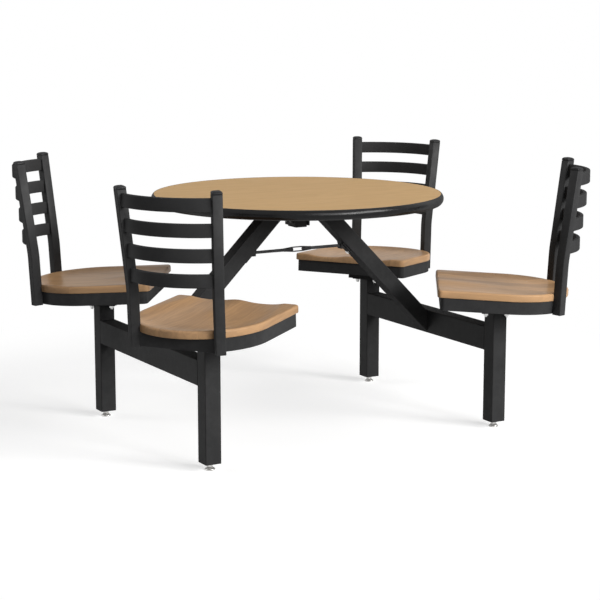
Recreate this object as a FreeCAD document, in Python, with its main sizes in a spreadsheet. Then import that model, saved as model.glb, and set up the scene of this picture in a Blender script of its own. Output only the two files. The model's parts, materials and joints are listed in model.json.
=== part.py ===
import FreeCAD, Part
import Sketcher
import os
import re

# Round dining table carried by two side frames, with a swivel seat on each of the four legs.
# Millimetres, +Z up, origin on the floor under the middle of the table top.
# +X crosses the two side frames, +Y runs along their beams.

doc = FreeCAD.newDocument("SeatedTable")
sheet = doc.addObject("Spreadsheet::Sheet", "Sizes")

DIMENSIONS = {
    # table top
    "top_diameter": 914.4,
    "table_height": 736.6,
    "core_thickness": 28.0,
    "laminate_thickness": 1.0,
    "backer_thickness": 0.7,
    "edge_overhang": 7.1,
    "spine_depth": 9.0,
    "spine_thickness": 2.4,
    # side frames
    "frame_spread": 1007.2,
    "leg_spacing": 739.4,
    "tube_size": 50.8,
    "tube_wall": 3.0,
    "tube_corner": 3.2,
    "beam_height": 76.2,
    "beam_top": 321.5,
    "leg_bottom": 20.4,
    "brace_angle": 45.0,
    # joint of the two frames under the top
    "top_plate_thickness": 6.4,
    "top_plate_width": 100.0,
    "top_plate_length": 240.0,
    "lug_gap": 40.0,
    "lug_thickness": 6.4,
    "lug_width": 63.5,
    "lug_depth": 66.0,
    "spacer_size": 50.8,
    "centre_bolt_spread": 28.0,
    "centre_bolt_drop": 49.0,
    "screw_inset": 15.0,
    "screw_length": 21.0,
    "screw_radius": 2.5,
    "screw_head_radius": 5.0,
    "screw_head_height": 3.0,
    # tie rod and turnbuckle
    "rod_drop": 77.0,
    "rod_radius": 4.75,
    "rod_gap": 34.0,
    "rod_bite": 12.0,
    "buckle_length": 98.0,
    "buckle_boss": 14.0,
    "buckle_radius": 8.5,
    "buckle_bar_width": 8.0,
    "buckle_bar_clear": 0.75,
    "anchor_thickness": 4.0,
    "anchor_length": 52.0,
    "anchor_above": 16.0,
    "anchor_width": 38.0,
    "anchor_boss_width": 24.0,
    "anchor_boss_reach": 15.4,
    "anchor_boss_margin": 10.0,
    "anchor_bolt_place": 27.0,
    # bolts
    "bolt_radius": 4.0,
    "bolt_hole_clear": 0.2,
    "bolt_head_radius": 7.5,
    "bolt_head_height": 5.3,
    "nut_height": 6.5,
    "bolt_tail": 5.0,
    # levelling glides
    "pad_radius": 15.75,
    "pad_rim_height": 5.0,
    "pad_neck_radius": 10.0,
    "pad_height": 9.0,
    "socket_radius": 6.0,
    "socket_floor": 3.0,
    "stem_radius": 4.75,
    "stem_top": 50.0,
    "stem_hex_radius": 9.8,
    "stem_hex_low": 10.0,
    "stem_hex_height": 6.0,
    "insert_height": 12.0,
    # swivel
    "swivel_height": 28.6,
    "front_left_facing": 34.9,
    "front_right_facing": 33.4,
    "back_right_facing": 34.5,
    "back_left_facing": 35.7,
    "leg_plate_size": 90.0,
    "leg_plate_thickness": 6.0,
    "swivel_bolt_offset": 32.0,
    "swivel_length": 130.0,
    "swivel_width": 104.0,
    "swivel_plate_thickness": 6.0,
    "swivel_rim_height": 5.0,
    "swivel_rim_wall": 3.0,
    "spindle_radius": 15.0,
    "spindle_height": 38.0,
    "spindle_stud_radius": 8.0,
    "spindle_nut_height": 8.5,
    "spindle_nut_radius": 13.8,
    "spindle_washer_radius": 23.0,
    "spindle_washer_height": 2.5,
    "bushing_wall": 3.0,
    "bushing_flange_radius": 30.0,
    "bushing_flange_height": 6.4,
    "running_clearance": 0.05,
    "hub_radius": 24.0,
    # seat frame and wooden seat, in the plane of the tilted seat
    "seat_tilt": 2.9,
    "frame_base_height": 398.6,
    "apron_height": 39.0,
    "apron_wall": 3.0,
    "apron_inset": 3.5,
    "apron_setback": 10.0,
    "cross_tube_place": 50.0,
    "cross_tube_width": 25.4,
    "cross_tube_wall": 2.5,
    "rear_bar_place": 186.0,
    "tab_size": 45.0,
    "tab_back_place": 125.0,
    "tab_back_reach": 105.0,
    "wood_screw_length": 14.0,
    "head_bolt_side": 40.0,
    "head_bolt_seat": 4.0,
    "head_bolt_head": 3.0,
    "head_bolt_rise": 11.0,
    "seat_width": 400.0,
    "seat_front": 188.5,
    "seat_arc_place": 21.0,
    "seat_thickness": 22.5,
    "seat_corner": 14.0,
    "scoop_radius": 1090.0,
    "scoop_depth": 9.0,
    "scoop_place": 60.0,
    "trough_radius": 410.0,
    "trough_depth": 5.0,
    "trough_offset": 81.0,
    "post_clearance": 1.0,
    # ladder back, in the plane of the tilted seat
    "post_size": 28.6,
    "post_wall": 1.8,
    "post_turn": 39.5,
    "post_drop": 3.0,
    "post_kink": 158.0,
    "post_top": 453.0,
    "post_lean": 4.0,
    "post_splay": 2.95,
    "post_cap_height": 10.5,
    "post_dome_radius": 26.0,
    "rail_height": 38.1,
    "rail_thickness": 12.7,
    "rail_wall": 1.6,
    "rail_bow": 51.2,
    "rail_first": 203.0,
    "rail_pitch": 70.0,
    "rail_count": 4,
}

for row, (alias, value) in enumerate(DIMENSIONS.items(), start=1):
    sheet.set(f"A{row}", alias.replace("_", " "))
    sheet.set(f"B{row}", str(value))
    sheet.setAlias(f"B{row}", alias)
doc.recompute()


def from_sheet(formula):
    """Write each dimension in a formula as a reference to its cell."""
    return re.sub(r"[a-z_]+", lambda word: f"Sizes.{word[0]}" if word[0] in DIMENSIONS else word[0], formula)


# Heights and places that follow from the dimensions.
TOP_UNDERSIDE = "(table_height - laminate_thickness - core_thickness - backer_thickness)"
CORE_BOTTOM = f"({TOP_UNDERSIDE} + backer_thickness)"
CORE_RADIUS = "(top_diameter / 2 - edge_overhang)"
EDGE_HEIGHT = "(laminate_thickness + core_thickness + backer_thickness)"
BEAM_FACE = "(frame_spread / 2 - tube_size / 2)"
PLATE_UNDERSIDE = f"({TOP_UNDERSIDE} - top_plate_thickness)"
ROD_HEIGHT = f"({PLATE_UNDERSIDE} - lug_depth - rod_drop)"
LEG_TOP = "(frame_base_height - swivel_height)"
LUG_OUTER = "(lug_gap / 2 + lug_thickness)"
BRACE_LOW = "(beam_top - tube_size / cos(brace_angle))"
BRACE_AXIS = "(beam_top - tube_size / (2 * cos(brace_angle)))"
ANCHOR_X = f"({BEAM_FACE} - ({ROD_HEIGHT} - {BRACE_LOW}) / tan(brace_angle))"
PLATE_TOP = f"({LEG_TOP} + leg_plate_thickness)"
TRAY_TOP = f"({PLATE_TOP} + swivel_plate_thickness)"
SPINDLE_TOP = f"({TRAY_TOP} + spindle_height)"
HEAD_BOTTOM = f"({TRAY_TOP} + bushing_flange_height + running_clearance)"
BUSHING_RADIUS = "(spindle_radius + bushing_wall)"
APRON_FRONT = "(seat_front - apron_setback)"
APRON_HALF = "(seat_width / 2 - apron_inset)"
POST_X = f"(-seat_arc_place - ({APRON_HALF} + post_size / 2) * cos(post_turn))"
POST_Y = f"(({APRON_HALF} + post_size / 2) * sin(post_turn))"
POST_RISE = "(post_top - post_cap_height - post_kink)"
POST_SHIFT = f"(-{POST_RISE} * tan(post_lean))"
POST_SPREAD = f"({POST_RISE} * tan(post_splay))"
FAR = "(2 * top_diameter)"

CORNERS = {
    "front_left": ("-frame_spread / 2", "-leg_spacing / 2", "front_left_facing"),
    "front_right": ("frame_spread / 2", "-leg_spacing / 2", "180 - front_right_facing"),
    "back_right": ("frame_spread / 2", "leg_spacing / 2", "180 + back_right_facing"),
    "back_left": ("-frame_spread / 2", "leg_spacing / 2", "-back_left_facing"),
}
SIDES = {"right": "0", "left": "180"}

nodes = []


def bind(item, **formulas):
    """Tie properties of a document object to the sheet."""
    for name, formula in formulas.items():
        item.setExpression(name, from_sheet(formula))
    return item


def place(item, x="0", y="0", z="0", yaw="0", pitch="0", roll="0"):
    """Tie an object's placement to the sheet."""
    formula = f"placement(vector({x}; {y}; {z}); rotation({yaw}; {pitch}; {roll}))"
    item.setExpression("Placement", from_sheet(formula))
    return item


def block(x, y, z):
    """A box from three (low, high) pairs."""
    item = doc.addObject("Part::Box", "Block")
    bind(item, Length=f"{x[1]} - ({x[0]})", Width=f"{y[1]} - ({y[0]})", Height=f"{z[1]} - ({z[0]})")
    return place(item, x[0], y[0], z[0])


def across(size):
    """The (low, high) pair of a size centred on zero."""
    return (f"-({size}) / 2", f"({size}) / 2")


def round_bar(radius, low, high, x="0", y="0"):
    """A vertical cylinder between two heights."""
    item = doc.addObject("Part::Cylinder", "RoundBar")
    bind(item, Radius=radius, Height=f"{high} - ({low})")
    return place(item, x, y, low)


def bar_along_x(radius, low, high, y="0", z="0"):
    """A cylinder along X between two places."""
    item = doc.addObject("Part::Cylinder", "BarAlongX")
    bind(item, Radius=radius, Height=f"{high} - ({low})")
    return place(item, low, y, z, pitch="90")


def hexagon(radius, low, high, x="0", y="0"):
    """A vertical hexagonal prism, such as a bolt head or a nut."""
    item = doc.addObject("Part::Prism", "Hexagon")
    item.Polygon = 6
    bind(item, Circumradius=radius, Height=f"{high} - ({low})")
    return place(item, x, y, low)


def join(parts):
    """One solid from pieces that are welded or formed together."""
    item = doc.addObject("Part::MultiFuse", "Joined")
    item.Shapes = parts
    item.Refine = True
    return item


def cut(base, tools):
    """A piece with material taken away."""
    item = doc.addObject("Part::Cut", "Cut")
    item.Base = base
    item.Tool = tools[0] if len(tools) == 1 else join(tools)
    item.Refine = True
    return item


def common(base, tool):
    """What two shapes share."""
    item = doc.addObject("Part::MultiCommon", "Shared")
    item.Shapes = [base, tool]
    item.Refine = True
    return item


def group(parts):
    """Separate solids that share one node."""
    item = doc.addObject("Part::Compound", "Group")
    item.Links = parts
    return item


def node(item, label):
    """Give a finished sub-part the name of its file."""
    item.Label = label
    nodes.append(item)
    return item


def at_corner(item, corner, z="0"):
    """Stand a piece on the floor plan at a leg, turned as its seat faces."""
    x, y, yaw = CORNERS[corner]
    return place(item, x, y, z, yaw=yaw)


def at_seat(item, corner):
    """Stand a piece in the tilted plane of a seat."""
    x, y, yaw = CORNERS[corner]
    return place(item, x, y, "frame_base_height", yaw=yaw, pitch="-seat_tilt")


def each_corner(make, z="0"):
    """One piece at every corner, as one group."""
    return group([at_corner(make(), corner, z) for corner in CORNERS])


def square_tube(label, across_x, across_y, length):
    """A hollow tube along Z with rounded outer corners, as a body."""
    body = doc.addObject("PartDesign::Body", label)
    plane = next(item for item in body.Origin.OriginFeatures if item.Role == "XY_Plane")

    def rectangle(name, size_x, size_y):
        sketch = body.newObject("Sketcher::SketchObject", name)
        sketch.AttachmentSupport = (plane, "")
        sketch.MapMode = "FlatFace"
        corners = [(-1, -1), (1, -1), (1, 1), (-1, 1)]
        start = 10  # half of the drawn square, before the constraints give it its real size
        points = [FreeCAD.Vector(start * sx, start * sy, 0) for sx, sy in corners]
        for index in range(4):
            sketch.addGeometry(Part.LineSegment(points[index], points[(index + 1) % 4]))
        for index in range(4):
            sketch.addConstraint(Sketcher.Constraint("Coincident", index, 2, (index + 1) % 4, 1))
        for index, kind in enumerate(("Horizontal", "Vertical", "Horizontal", "Vertical")):
            sketch.addConstraint(Sketcher.Constraint(kind, index))
        sketch.addConstraint(Sketcher.Constraint("Symmetric", 0, 1, 2, 1, -1, 1))
        wide = sketch.addConstraint(Sketcher.Constraint("DistanceX", 0, 1, 0, 2, 2 * start))
        deep = sketch.addConstraint(Sketcher.Constraint("DistanceY", 1, 1, 1, 2, 2 * start))
        sketch.setExpression(f"Constraints[{wide}]", from_sheet(size_x))
        sketch.setExpression(f"Constraints[{deep}]", from_sheet(size_y))
        return sketch

    outer = body.newObject("PartDesign::Pad", "Outer")
    outer.Profile = rectangle("OuterOutline", across_x, across_y)
    bind(outer, Length=length)
    doc.recompute()
    upright = [
        f"Edge{number}"
        for number, edge in enumerate(outer.Shape.Edges, start=1)
        if abs(edge.tangentAt(edge.FirstParameter).z) > 0.99
    ]
    rounded = body.newObject("PartDesign::Fillet", "Corners")
    rounded.Base = (outer, upright)
    bind(rounded, Radius="tube_corner")
    doc.recompute()
    bore = body.newObject("PartDesign::Pocket", "Bore")
    bore.Profile = rectangle("BoreOutline", f"{across_x} - 2 * tube_wall", f"{across_y} - 2 * tube_wall")
    bore.Type = "ThroughAll"
    bore.Midplane = True
    return body


def table_top():
    """Core board, laminate, backer and the soft edge moulding pressed into the core."""
    spine_middle = f"({TOP_UNDERSIDE} + {EDGE_HEIGHT} / 2)"
    groove_low = f"{spine_middle} - spine_thickness / 2"
    groove_high = f"{spine_middle} + spine_thickness / 2"
    groove_ring = cut(
        round_bar(f"{CORE_RADIUS} + edge_overhang", groove_low, groove_high),
        [round_bar(f"{CORE_RADIUS} - spine_depth", groove_low, groove_high)],
    )
    pilots = [
        round_bar("screw_radius", PLATE_UNDERSIDE, f"{PLATE_UNDERSIDE} + screw_length", x, y)
        for x, y in top_screw_places()
    ]
    core = round_bar(CORE_RADIUS, CORE_BOTTOM, f"{CORE_BOTTOM} + core_thickness")
    node(cut(core, [groove_ring, *pilots]), "table_core")
    node(round_bar(CORE_RADIUS, "table_height - laminate_thickness", "table_height"), "top_laminate")
    backer = round_bar(CORE_RADIUS, TOP_UNDERSIDE, CORE_BOTTOM)
    node(cut(backer, pilots), "backer_sheet")
    node(edge_moulding(), "edge_moulding")


def edge_moulding():
    """A bullnose band with a spine, turned about the middle of the table."""
    body = doc.addObject("PartDesign::Body", "EdgeMoulding")
    plane = next(item for item in body.Origin.OriginFeatures if item.Role == "XZ_Plane")
    sketch = body.newObject("Sketcher::SketchObject", "EdgeProfile")
    sketch.AttachmentSupport = (plane, "")
    sketch.MapMode = "FlatFace"
    outer = DIMENSIONS["top_diameter"] / 2
    inner = outer - DIMENSIONS["edge_overhang"]
    root = inner - DIMENSIONS["spine_depth"]
    high = sum(DIMENSIONS[layer] for layer in ("laminate_thickness", "core_thickness", "backer_thickness"))
    middle = high / 2
    half_spine = DIMENSIONS["spine_thickness"] / 2
    wall = [
        FreeCAD.Vector(inner, high, 0),
        FreeCAD.Vector(inner, middle + half_spine, 0),
        FreeCAD.Vector(root, middle + half_spine, 0),
        FreeCAD.Vector(root, middle - half_spine, 0),
        FreeCAD.Vector(inner, middle - half_spine, 0),
        FreeCAD.Vector(inner, 0, 0),
    ]
    for start, end in zip(wall, wall[1:]):
        sketch.addGeometry(Part.LineSegment(start, end))
    nose = Part.Arc(wall[-1], FreeCAD.Vector(outer, middle, 0), wall[0])
    sketch.addGeometry(nose)
    for index in range(4):
        sketch.addConstraint(Sketcher.Constraint("Coincident", index, 2, index + 1, 1))
    sketch.addConstraint(Sketcher.Constraint("Coincident", 4, 2, 5, 1))
    sketch.addConstraint(Sketcher.Constraint("Coincident", 5, 2, 0, 1))
    for index in (0, 2, 4):
        sketch.addConstraint(Sketcher.Constraint("Vertical", index))
    for index in (1, 3):
        sketch.addConstraint(Sketcher.Constraint("Horizontal", index))
    sketch.addConstraint(Sketcher.Constraint("PointOnObject", 4, 2, -1))
    sketch.addConstraint(Sketcher.Constraint("Equal", 0, 4))
    sketch.addConstraint(Sketcher.Constraint("Equal", 1, 3))
    nose_radius = f"(({EDGE_HEIGHT} / 2) ^ 2 + edge_overhang ^ 2) / (2 * edge_overhang)"
    sized = {
        ("DistanceX", -1, 1, 4, 2, inner): CORE_RADIUS,
        ("DistanceY", -1, 1, 0, 1, high): EDGE_HEIGHT,
        ("DistanceX", 1, 2, 1, 1, inner - root): "spine_depth",
        ("DistanceY", 2, 2, 2, 1, 2 * half_spine): "spine_thickness",
        ("Radius", 5, outer - inner + middle): nose_radius,
    }
    for constraint, formula in sized.items():
        number = sketch.addConstraint(Sketcher.Constraint(*constraint))
        sketch.setExpression(f"Constraints[{number}]", from_sheet(formula))
    turned = body.newObject("PartDesign::Revolution", "Turned")
    turned.Profile = sketch
    turned.ReferenceAxis = (sketch, ["V_Axis"])
    turned.Angle = 360
    return place(body, z=TOP_UNDERSIDE)


def top_screw_places():
    """The four screws through each top plate, as (x, y) formulas."""
    near = "(lug_gap / 2 + screw_inset)"
    wide = "(lug_gap / 2 + top_plate_width - screw_inset)"
    along = "(top_plate_length / 2 - screw_inset)"
    return [(f"{sx}{x}", f"{sy}{along}") for sx in ("", "-") for x in (near, wide) for sy in ("", "-")]


def top_screws():
    """Wood screws that hold the top down on its plates."""
    screws = []
    for x, y in top_screw_places():
        head = round_bar("screw_head_radius", f"{PLATE_UNDERSIDE} - screw_head_height", PLATE_UNDERSIDE, x, y)
        shank = round_bar("screw_radius", PLATE_UNDERSIDE, f"{PLATE_UNDERSIDE} + screw_length", x, y)
        screws.append(join([head, shank]))
    node(group(screws), "top_screws")


def beams():
    """The horizontal beam of each side frame, between its two legs."""
    for side, x in (("right", "frame_spread / 2"), ("left", "-frame_spread / 2")):
        beam = square_tube("Beam", "tube_size", "beam_height", "leg_spacing - tube_size")
        place(beam, x, "leg_spacing / 2 - tube_size / 2", "beam_top - beam_height / 2", roll="90")
        node(beam, f"{side}_beam")


def slope_box(x, y, z):
    """A box in the frame of the right brace's lower face: X runs down the slope, Z into the tube."""
    inner = block(x, y, z)
    return on_slope(group([inner]))


def on_slope(item, yaw="0"):
    """Lay a piece on the lower face of the right brace, at the height of the tie rod."""
    return place(item, ANCHOR_X, "0", ROD_HEIGHT, yaw=yaw, pitch="brace_angle")


def brace(side):
    """A square tube from a beam's inner face up to the plate under the top."""
    length = f"(({PLATE_UNDERSIDE} - {BRACE_AXIS}) / sin(brace_angle) + 4 * tube_size)"
    tube = square_tube("BraceTube", "tube_size", "tube_size", length)
    place(
        tube,
        f"{BEAM_FACE} + 2 * tube_size * cos(brace_angle)",
        "0",
        f"{BRACE_AXIS} - 2 * tube_size * sin(brace_angle)",
        pitch="brace_angle - 90",
    )
    beyond_beam = block((BEAM_FACE, FAR), across(FAR), ("0", FAR))
    above_plate = block((f"-{FAR}", FAR), across(FAR), (PLATE_UNDERSIDE, FAR))
    past_lug = block((f"-{FAR}", LUG_OUTER), across(FAR), ("0", FAR))
    bolt_hole = on_slope(group([
        round_bar("bolt_radius", "-2 * tube_wall", "2 * tube_wall", "anchor_bolt_place")
    ]))
    trimmed = cut(tube, [beyond_beam, above_plate, past_lug, bolt_hole])
    node(place(trimmed, yaw=SIDES[side]), f"{side}_brace")


def centre_bolt_places():
    """The two bolts through the lugs, as (y, z) formulas."""
    height = f"({PLATE_UNDERSIDE} - centre_bolt_drop)"
    return [("centre_bolt_spread / 2", height), ("-centre_bolt_spread / 2", height)]


def top_plate(side):
    """The plate on a brace's upper end, with the lug that bolts it to the other frame."""
    plate = block(
        ("lug_gap / 2", "lug_gap / 2 + top_plate_width"), across("top_plate_length"),
        (PLATE_UNDERSIDE, TOP_UNDERSIDE),
    )
    lug = block(
        ("lug_gap / 2", LUG_OUTER), across("lug_width"), (f"{PLATE_UNDERSIDE} - lug_depth", PLATE_UNDERSIDE)
    )
    screw_holes = [
        round_bar("screw_radius", f"{PLATE_UNDERSIDE} - lug_depth", TOP_UNDERSIDE, x, y)
        for x, y in top_screw_places() if not x.startswith("-")
    ]
    bolt_holes = [
        bar_along_x("bolt_radius + bolt_hole_clear", "0", "lug_gap", y, z) for y, z in centre_bolt_places()
    ]
    drilled = cut(join([plate, lug]), screw_holes + bolt_holes)
    node(place(drilled, yaw=SIDES[side]), f"{side}_top_plate")


def centre_joint():
    """The stub of tube between the lugs, and the bolts that clamp it."""
    middle = f"({PLATE_UNDERSIDE} - centre_bolt_drop)"
    low = f"{middle} - spacer_size / 2 + tube_wall"
    outer = block(across("lug_gap"), across("spacer_size"), (low, f"{low} + spacer_size"))
    bore = block(
        across("2 * lug_gap"), across("spacer_size - 2 * tube_wall"),
        (f"{low} + tube_wall", f"{low} + spacer_size - tube_wall"),
    )
    node(cut(outer, [bore]), "centre_spacer")
    bolts = []
    for y, z in centre_bolt_places():
        parts = [
            bar_along_x("bolt_radius", f"-{LUG_OUTER} - nut_height - bolt_tail", LUG_OUTER, y, z),
            hex_along_x("bolt_head_radius", LUG_OUTER, f"{LUG_OUTER} + bolt_head_height", y, z),
            hex_along_x("bolt_head_radius", f"-{LUG_OUTER} - nut_height", f"-{LUG_OUTER}", y, z),
        ]
        bolts.append(join(parts))
    node(group(bolts), "centre_bolts")


def hex_along_x(radius, low, high, y, z):
    """A hexagonal prism along X."""
    item = hexagon(radius, low, high)
    return place(item, low, y, z, pitch="90")


def tie_rods():
    """Two rods that pull the braces together, and the turnbuckle between them."""
    for side, yaw in SIDES.items():
        end = f"{ANCHOR_X} - anchor_boss_reach + rod_bite"
        rod = group([bar_along_x("rod_radius", "rod_gap / 2", end, z=ROD_HEIGHT)])
        node(place(rod, yaw=yaw), f"{side}_tie_rod")
    half = "buckle_length / 2"
    bar_low = "(rod_radius + buckle_bar_clear)"
    bosses = [
        bar_along_x("buckle_radius", f"{half} - buckle_boss", half, z=ROD_HEIGHT),
        bar_along_x("buckle_radius", f"-{half}", f"-{half} + buckle_boss", z=ROD_HEIGHT),
    ]
    bars = [
        block(across("buckle_length - buckle_boss"), across("buckle_bar_width"), heights)
        for heights in (
            (f"{ROD_HEIGHT} + {bar_low}", f"{ROD_HEIGHT} + buckle_radius"),
            (f"{ROD_HEIGHT} - buckle_radius", f"{ROD_HEIGHT} - {bar_low}"),
        )
    ]
    bore = bar_along_x("rod_radius + running_clearance", f"-{half}", half, z=ROD_HEIGHT)
    node(cut(join(bosses + bars), [bore]), "turnbuckle_body")


def rod_anchors():
    """The plate and boss under each brace that take the end of a tie rod, and their bolts."""
    anchors, bolts = [], []
    for yaw in SIDES.values():
        plate = slope_box(
            ("-anchor_above", "anchor_length - anchor_above"), across("anchor_width"),
            ("-anchor_thickness", "0"),
        )
        boss_end = f"{ANCHOR_X} + anchor_boss_margin * tan(90 - brace_angle)"
        boss_top = f"{ROD_HEIGHT} + anchor_boss_reach * tan(brace_angle)"
        boss = cut(
            block(
                (f"{ANCHOR_X} - anchor_boss_reach", boss_end), across("anchor_boss_width"),
                (f"{ROD_HEIGHT} - anchor_boss_margin", boss_top),
            ),
            [slope_box(across(FAR), across("2 * anchor_width"), ("0", FAR))],
        )
        rod_hole = bar_along_x(
            "rod_radius", f"{ANCHOR_X} - 2 * anchor_boss_reach", f"{ANCHOR_X} - anchor_boss_reach + rod_bite",
            z=ROD_HEIGHT,
        )
        bolt_hole = on_slope(group([
            round_bar("bolt_radius", "-2 * anchor_thickness", "anchor_thickness", "anchor_bolt_place")
        ]))
        anchors.append(place(cut(join([plate, boss]), [rod_hole, bolt_hole]), yaw=yaw))
        bolt = group([join([
            hexagon(
                "bolt_head_radius", "-anchor_thickness - bolt_head_height", "-anchor_thickness",
                "anchor_bolt_place",
            ),
            round_bar("bolt_radius", "-anchor_thickness", "4 * tube_wall", "anchor_bolt_place"),
        ])])
        bolts.append(place(group([on_slope(bolt)]), yaw=yaw))
    node(group(anchors), "rod_anchors")
    node(group(bolts), "anchor_bolts")


def legs():
    """Four legs, each with a plate for its swivel and a threaded insert for its glide."""
    for corner, (x, y, _) in CORNERS.items():
        leg = square_tube("Leg", "tube_size", "tube_size", f"{LEG_TOP} - leg_bottom")
        node(place(leg, x, y, "leg_bottom"), f"{corner}_leg")

    def leg_plate():
        plate = block(across("leg_plate_size"), across("leg_plate_size"), (LEG_TOP, PLATE_TOP))
        return cut(plate, swivel_bolt_bars("bolt_radius + bolt_hole_clear", LEG_TOP, PLATE_TOP))

    node(each_corner(leg_plate), "leg_plates")
    inserts = []
    for x, y, _ in CORNERS.values():
        inside = "tube_size - 2 * tube_wall"
        plug = block(across(inside), across(inside), ("leg_bottom", "leg_bottom + insert_height"))
        thread = round_bar("stem_radius + running_clearance", "0", LEG_TOP)
        inserts.append(place(cut(plug, [thread]), x, y))
    node(group(inserts), "foot_inserts")


def swivel_bolt_places():
    """The four bolts of a swivel, as (x, y) formulas."""
    return [(f"{sx}swivel_bolt_offset", f"{sy}swivel_bolt_offset") for sx in ("", "-") for sy in ("", "-")]


def swivel_bolt_bars(radius, low, high):
    """Four upright bars on the swivel's bolt pattern."""
    return [round_bar(radius, low, high, x, y) for x, y in swivel_bolt_places()]


def swivel_bases():
    """What stays on the leg: tray and spindle, bushing, bolts and the nut that keeps the head down."""
    rim_top = f"({TRAY_TOP} + swivel_rim_height)"
    stud_top = f"{SPINDLE_TOP} + spindle_washer_height + spindle_nut_height"

    def tray():
        outer = block(across("swivel_length"), across("swivel_width"), (PLATE_TOP, rim_top))
        inside = block(
            across("swivel_length - 2 * swivel_rim_wall"), across("swivel_width - 2 * swivel_rim_wall"),
            (TRAY_TOP, rim_top),
        )
        spindle = round_bar("spindle_radius", TRAY_TOP, SPINDLE_TOP)
        stud = round_bar("spindle_stud_radius", SPINDLE_TOP, stud_top)
        dish = cut(outer, [inside, *swivel_bolt_bars("bolt_radius + bolt_hole_clear", PLATE_TOP, TRAY_TOP)])
        return join([dish, spindle, stud])

    def bushing():
        sleeve = round_bar(BUSHING_RADIUS, TRAY_TOP, SPINDLE_TOP)
        flange = round_bar("bushing_flange_radius", TRAY_TOP, f"{TRAY_TOP} + bushing_flange_height")
        return cut(join([sleeve, flange]), [round_bar("spindle_radius", PLATE_TOP, stud_top)])

    def nut():
        washer_top = f"{SPINDLE_TOP} + spindle_washer_height"
        washer = round_bar("spindle_washer_radius", SPINDLE_TOP, washer_top)
        hexes = hexagon("spindle_nut_radius", washer_top, stud_top)
        return cut(join([washer, hexes]), [round_bar("spindle_stud_radius", SPINDLE_TOP, stud_top)])

    def bolts():
        tail = f"{LEG_TOP} - nut_height - bolt_tail"
        four = []
        for x, y in swivel_bolt_places():
            four.append(join([
                hexagon("bolt_head_radius", TRAY_TOP, f"{TRAY_TOP} + bolt_head_height", x, y),
                round_bar("bolt_radius", tail, TRAY_TOP, x, y),
                hexagon("bolt_head_radius", f"{LEG_TOP} - nut_height", LEG_TOP, x, y),
            ]))
        return group(four)

    node(each_corner(tray), "swivel_bases")
    node(each_corner(bushing), "swivel_bushings")
    node(each_corner(nut), "spindle_nuts")
    node(each_corner(bolts), "swivel_bolts")


def glide(corner):
    """A levelling glide: a round pad and the threaded stem that is set in it."""
    x, y, _ = CORNERS[corner]
    rim = round_bar("pad_radius", "0", "pad_rim_height")
    neck = doc.addObject("Part::Cone", "Neck")
    bind(neck, Radius1="pad_radius", Radius2="pad_neck_radius", Height="pad_height - pad_rim_height")
    place(neck, z="pad_rim_height")
    socket = round_bar("socket_radius", "socket_floor", "pad_height + socket_floor")
    node(place(cut(join([rim, neck]), [socket]), x, y), f"{corner}_glide_pad")
    hex_top = "stem_hex_low + stem_hex_height"
    stem = join([
        round_bar("socket_radius", "socket_floor", "stem_hex_low"),
        hexagon("stem_hex_radius", "stem_hex_low", hex_top),
        round_bar("stem_radius", hex_top, "stem_top"),
    ])
    node(place(stem, x, y), f"{corner}_glide_stem")


def seat_plan(half, front, corner, low, high):
    """A seat outline as a solid: straight front and sides, a half round at the back."""
    middle = block(("-seat_arc_place", f"{front} - {corner}"), (f"-{half}", half), (low, high))
    nose = block(("-seat_arc_place", front), (f"-{half} + {corner}", f"{half} - {corner}"), (low, high))
    back = round_bar(half, low, high, "-seat_arc_place")
    rounds = [
        round_bar(corner, low, high, f"{front} - {corner}", f"{side}({half} - {corner})")
        for side in ("", "-")
    ]
    return join([middle, nose, back, *rounds])


def wood_screw_places():
    """Where the seat is screwed to the corner tabs, as (x, y) formulas."""
    front = f"({APRON_FRONT} - tab_size / 2)"
    back = "(-tab_back_place + tab_size / 2)"
    side = f"({APRON_HALF} - tab_size / 2)"
    back_side = "(tab_back_reach + tab_size / 2)"
    return [(x, f"{sy}{y}") for x, y in ((front, side), (back, back_side)) for sy in ("", "-")]


def head_bolt_places():
    """Where the swivel head is bolted to the cross tubes, as (x, y) formulas."""
    return [
        (f"{sx}cross_tube_place", f"{sy}head_bolt_side") for sx in ("", "-") for sy in ("", "-")
    ]


def seat(corner):
    """The wooden seat: a saddle with two leg troughs, notched for the back posts."""
    low, high = "apron_height", "(apron_height + seat_thickness)"
    blank = seat_plan("seat_width / 2", "seat_front", "seat_corner", low, high)
    scoop = doc.addObject("Part::Sphere", "Scoop")
    bind(scoop, Radius="scoop_radius")
    place(scoop, "-scoop_place", "0", f"{high} + scoop_radius - scoop_depth")
    troughs = [
        bar_along_x(
            "trough_radius", "-scoop_place", "2 * seat_front", f"{side}trough_offset",
            f"{high} + trough_radius - trough_depth",
        )
        for side in ("", "-")
    ]
    notch = across("post_size + 2 * post_clearance")
    notches = [at_post(group([block(notch, notch, ("0", f"2 * {high}"))]), side) for side in ("", "-")]
    screw_tip = f"{low} + wood_screw_length"
    pilots = [round_bar("screw_radius", "0", screw_tip, x, y) for x, y in wood_screw_places()]
    node(at_seat(cut(blank, [scoop, *troughs, *notches, *pilots]), corner), f"{corner}_seat")


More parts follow.
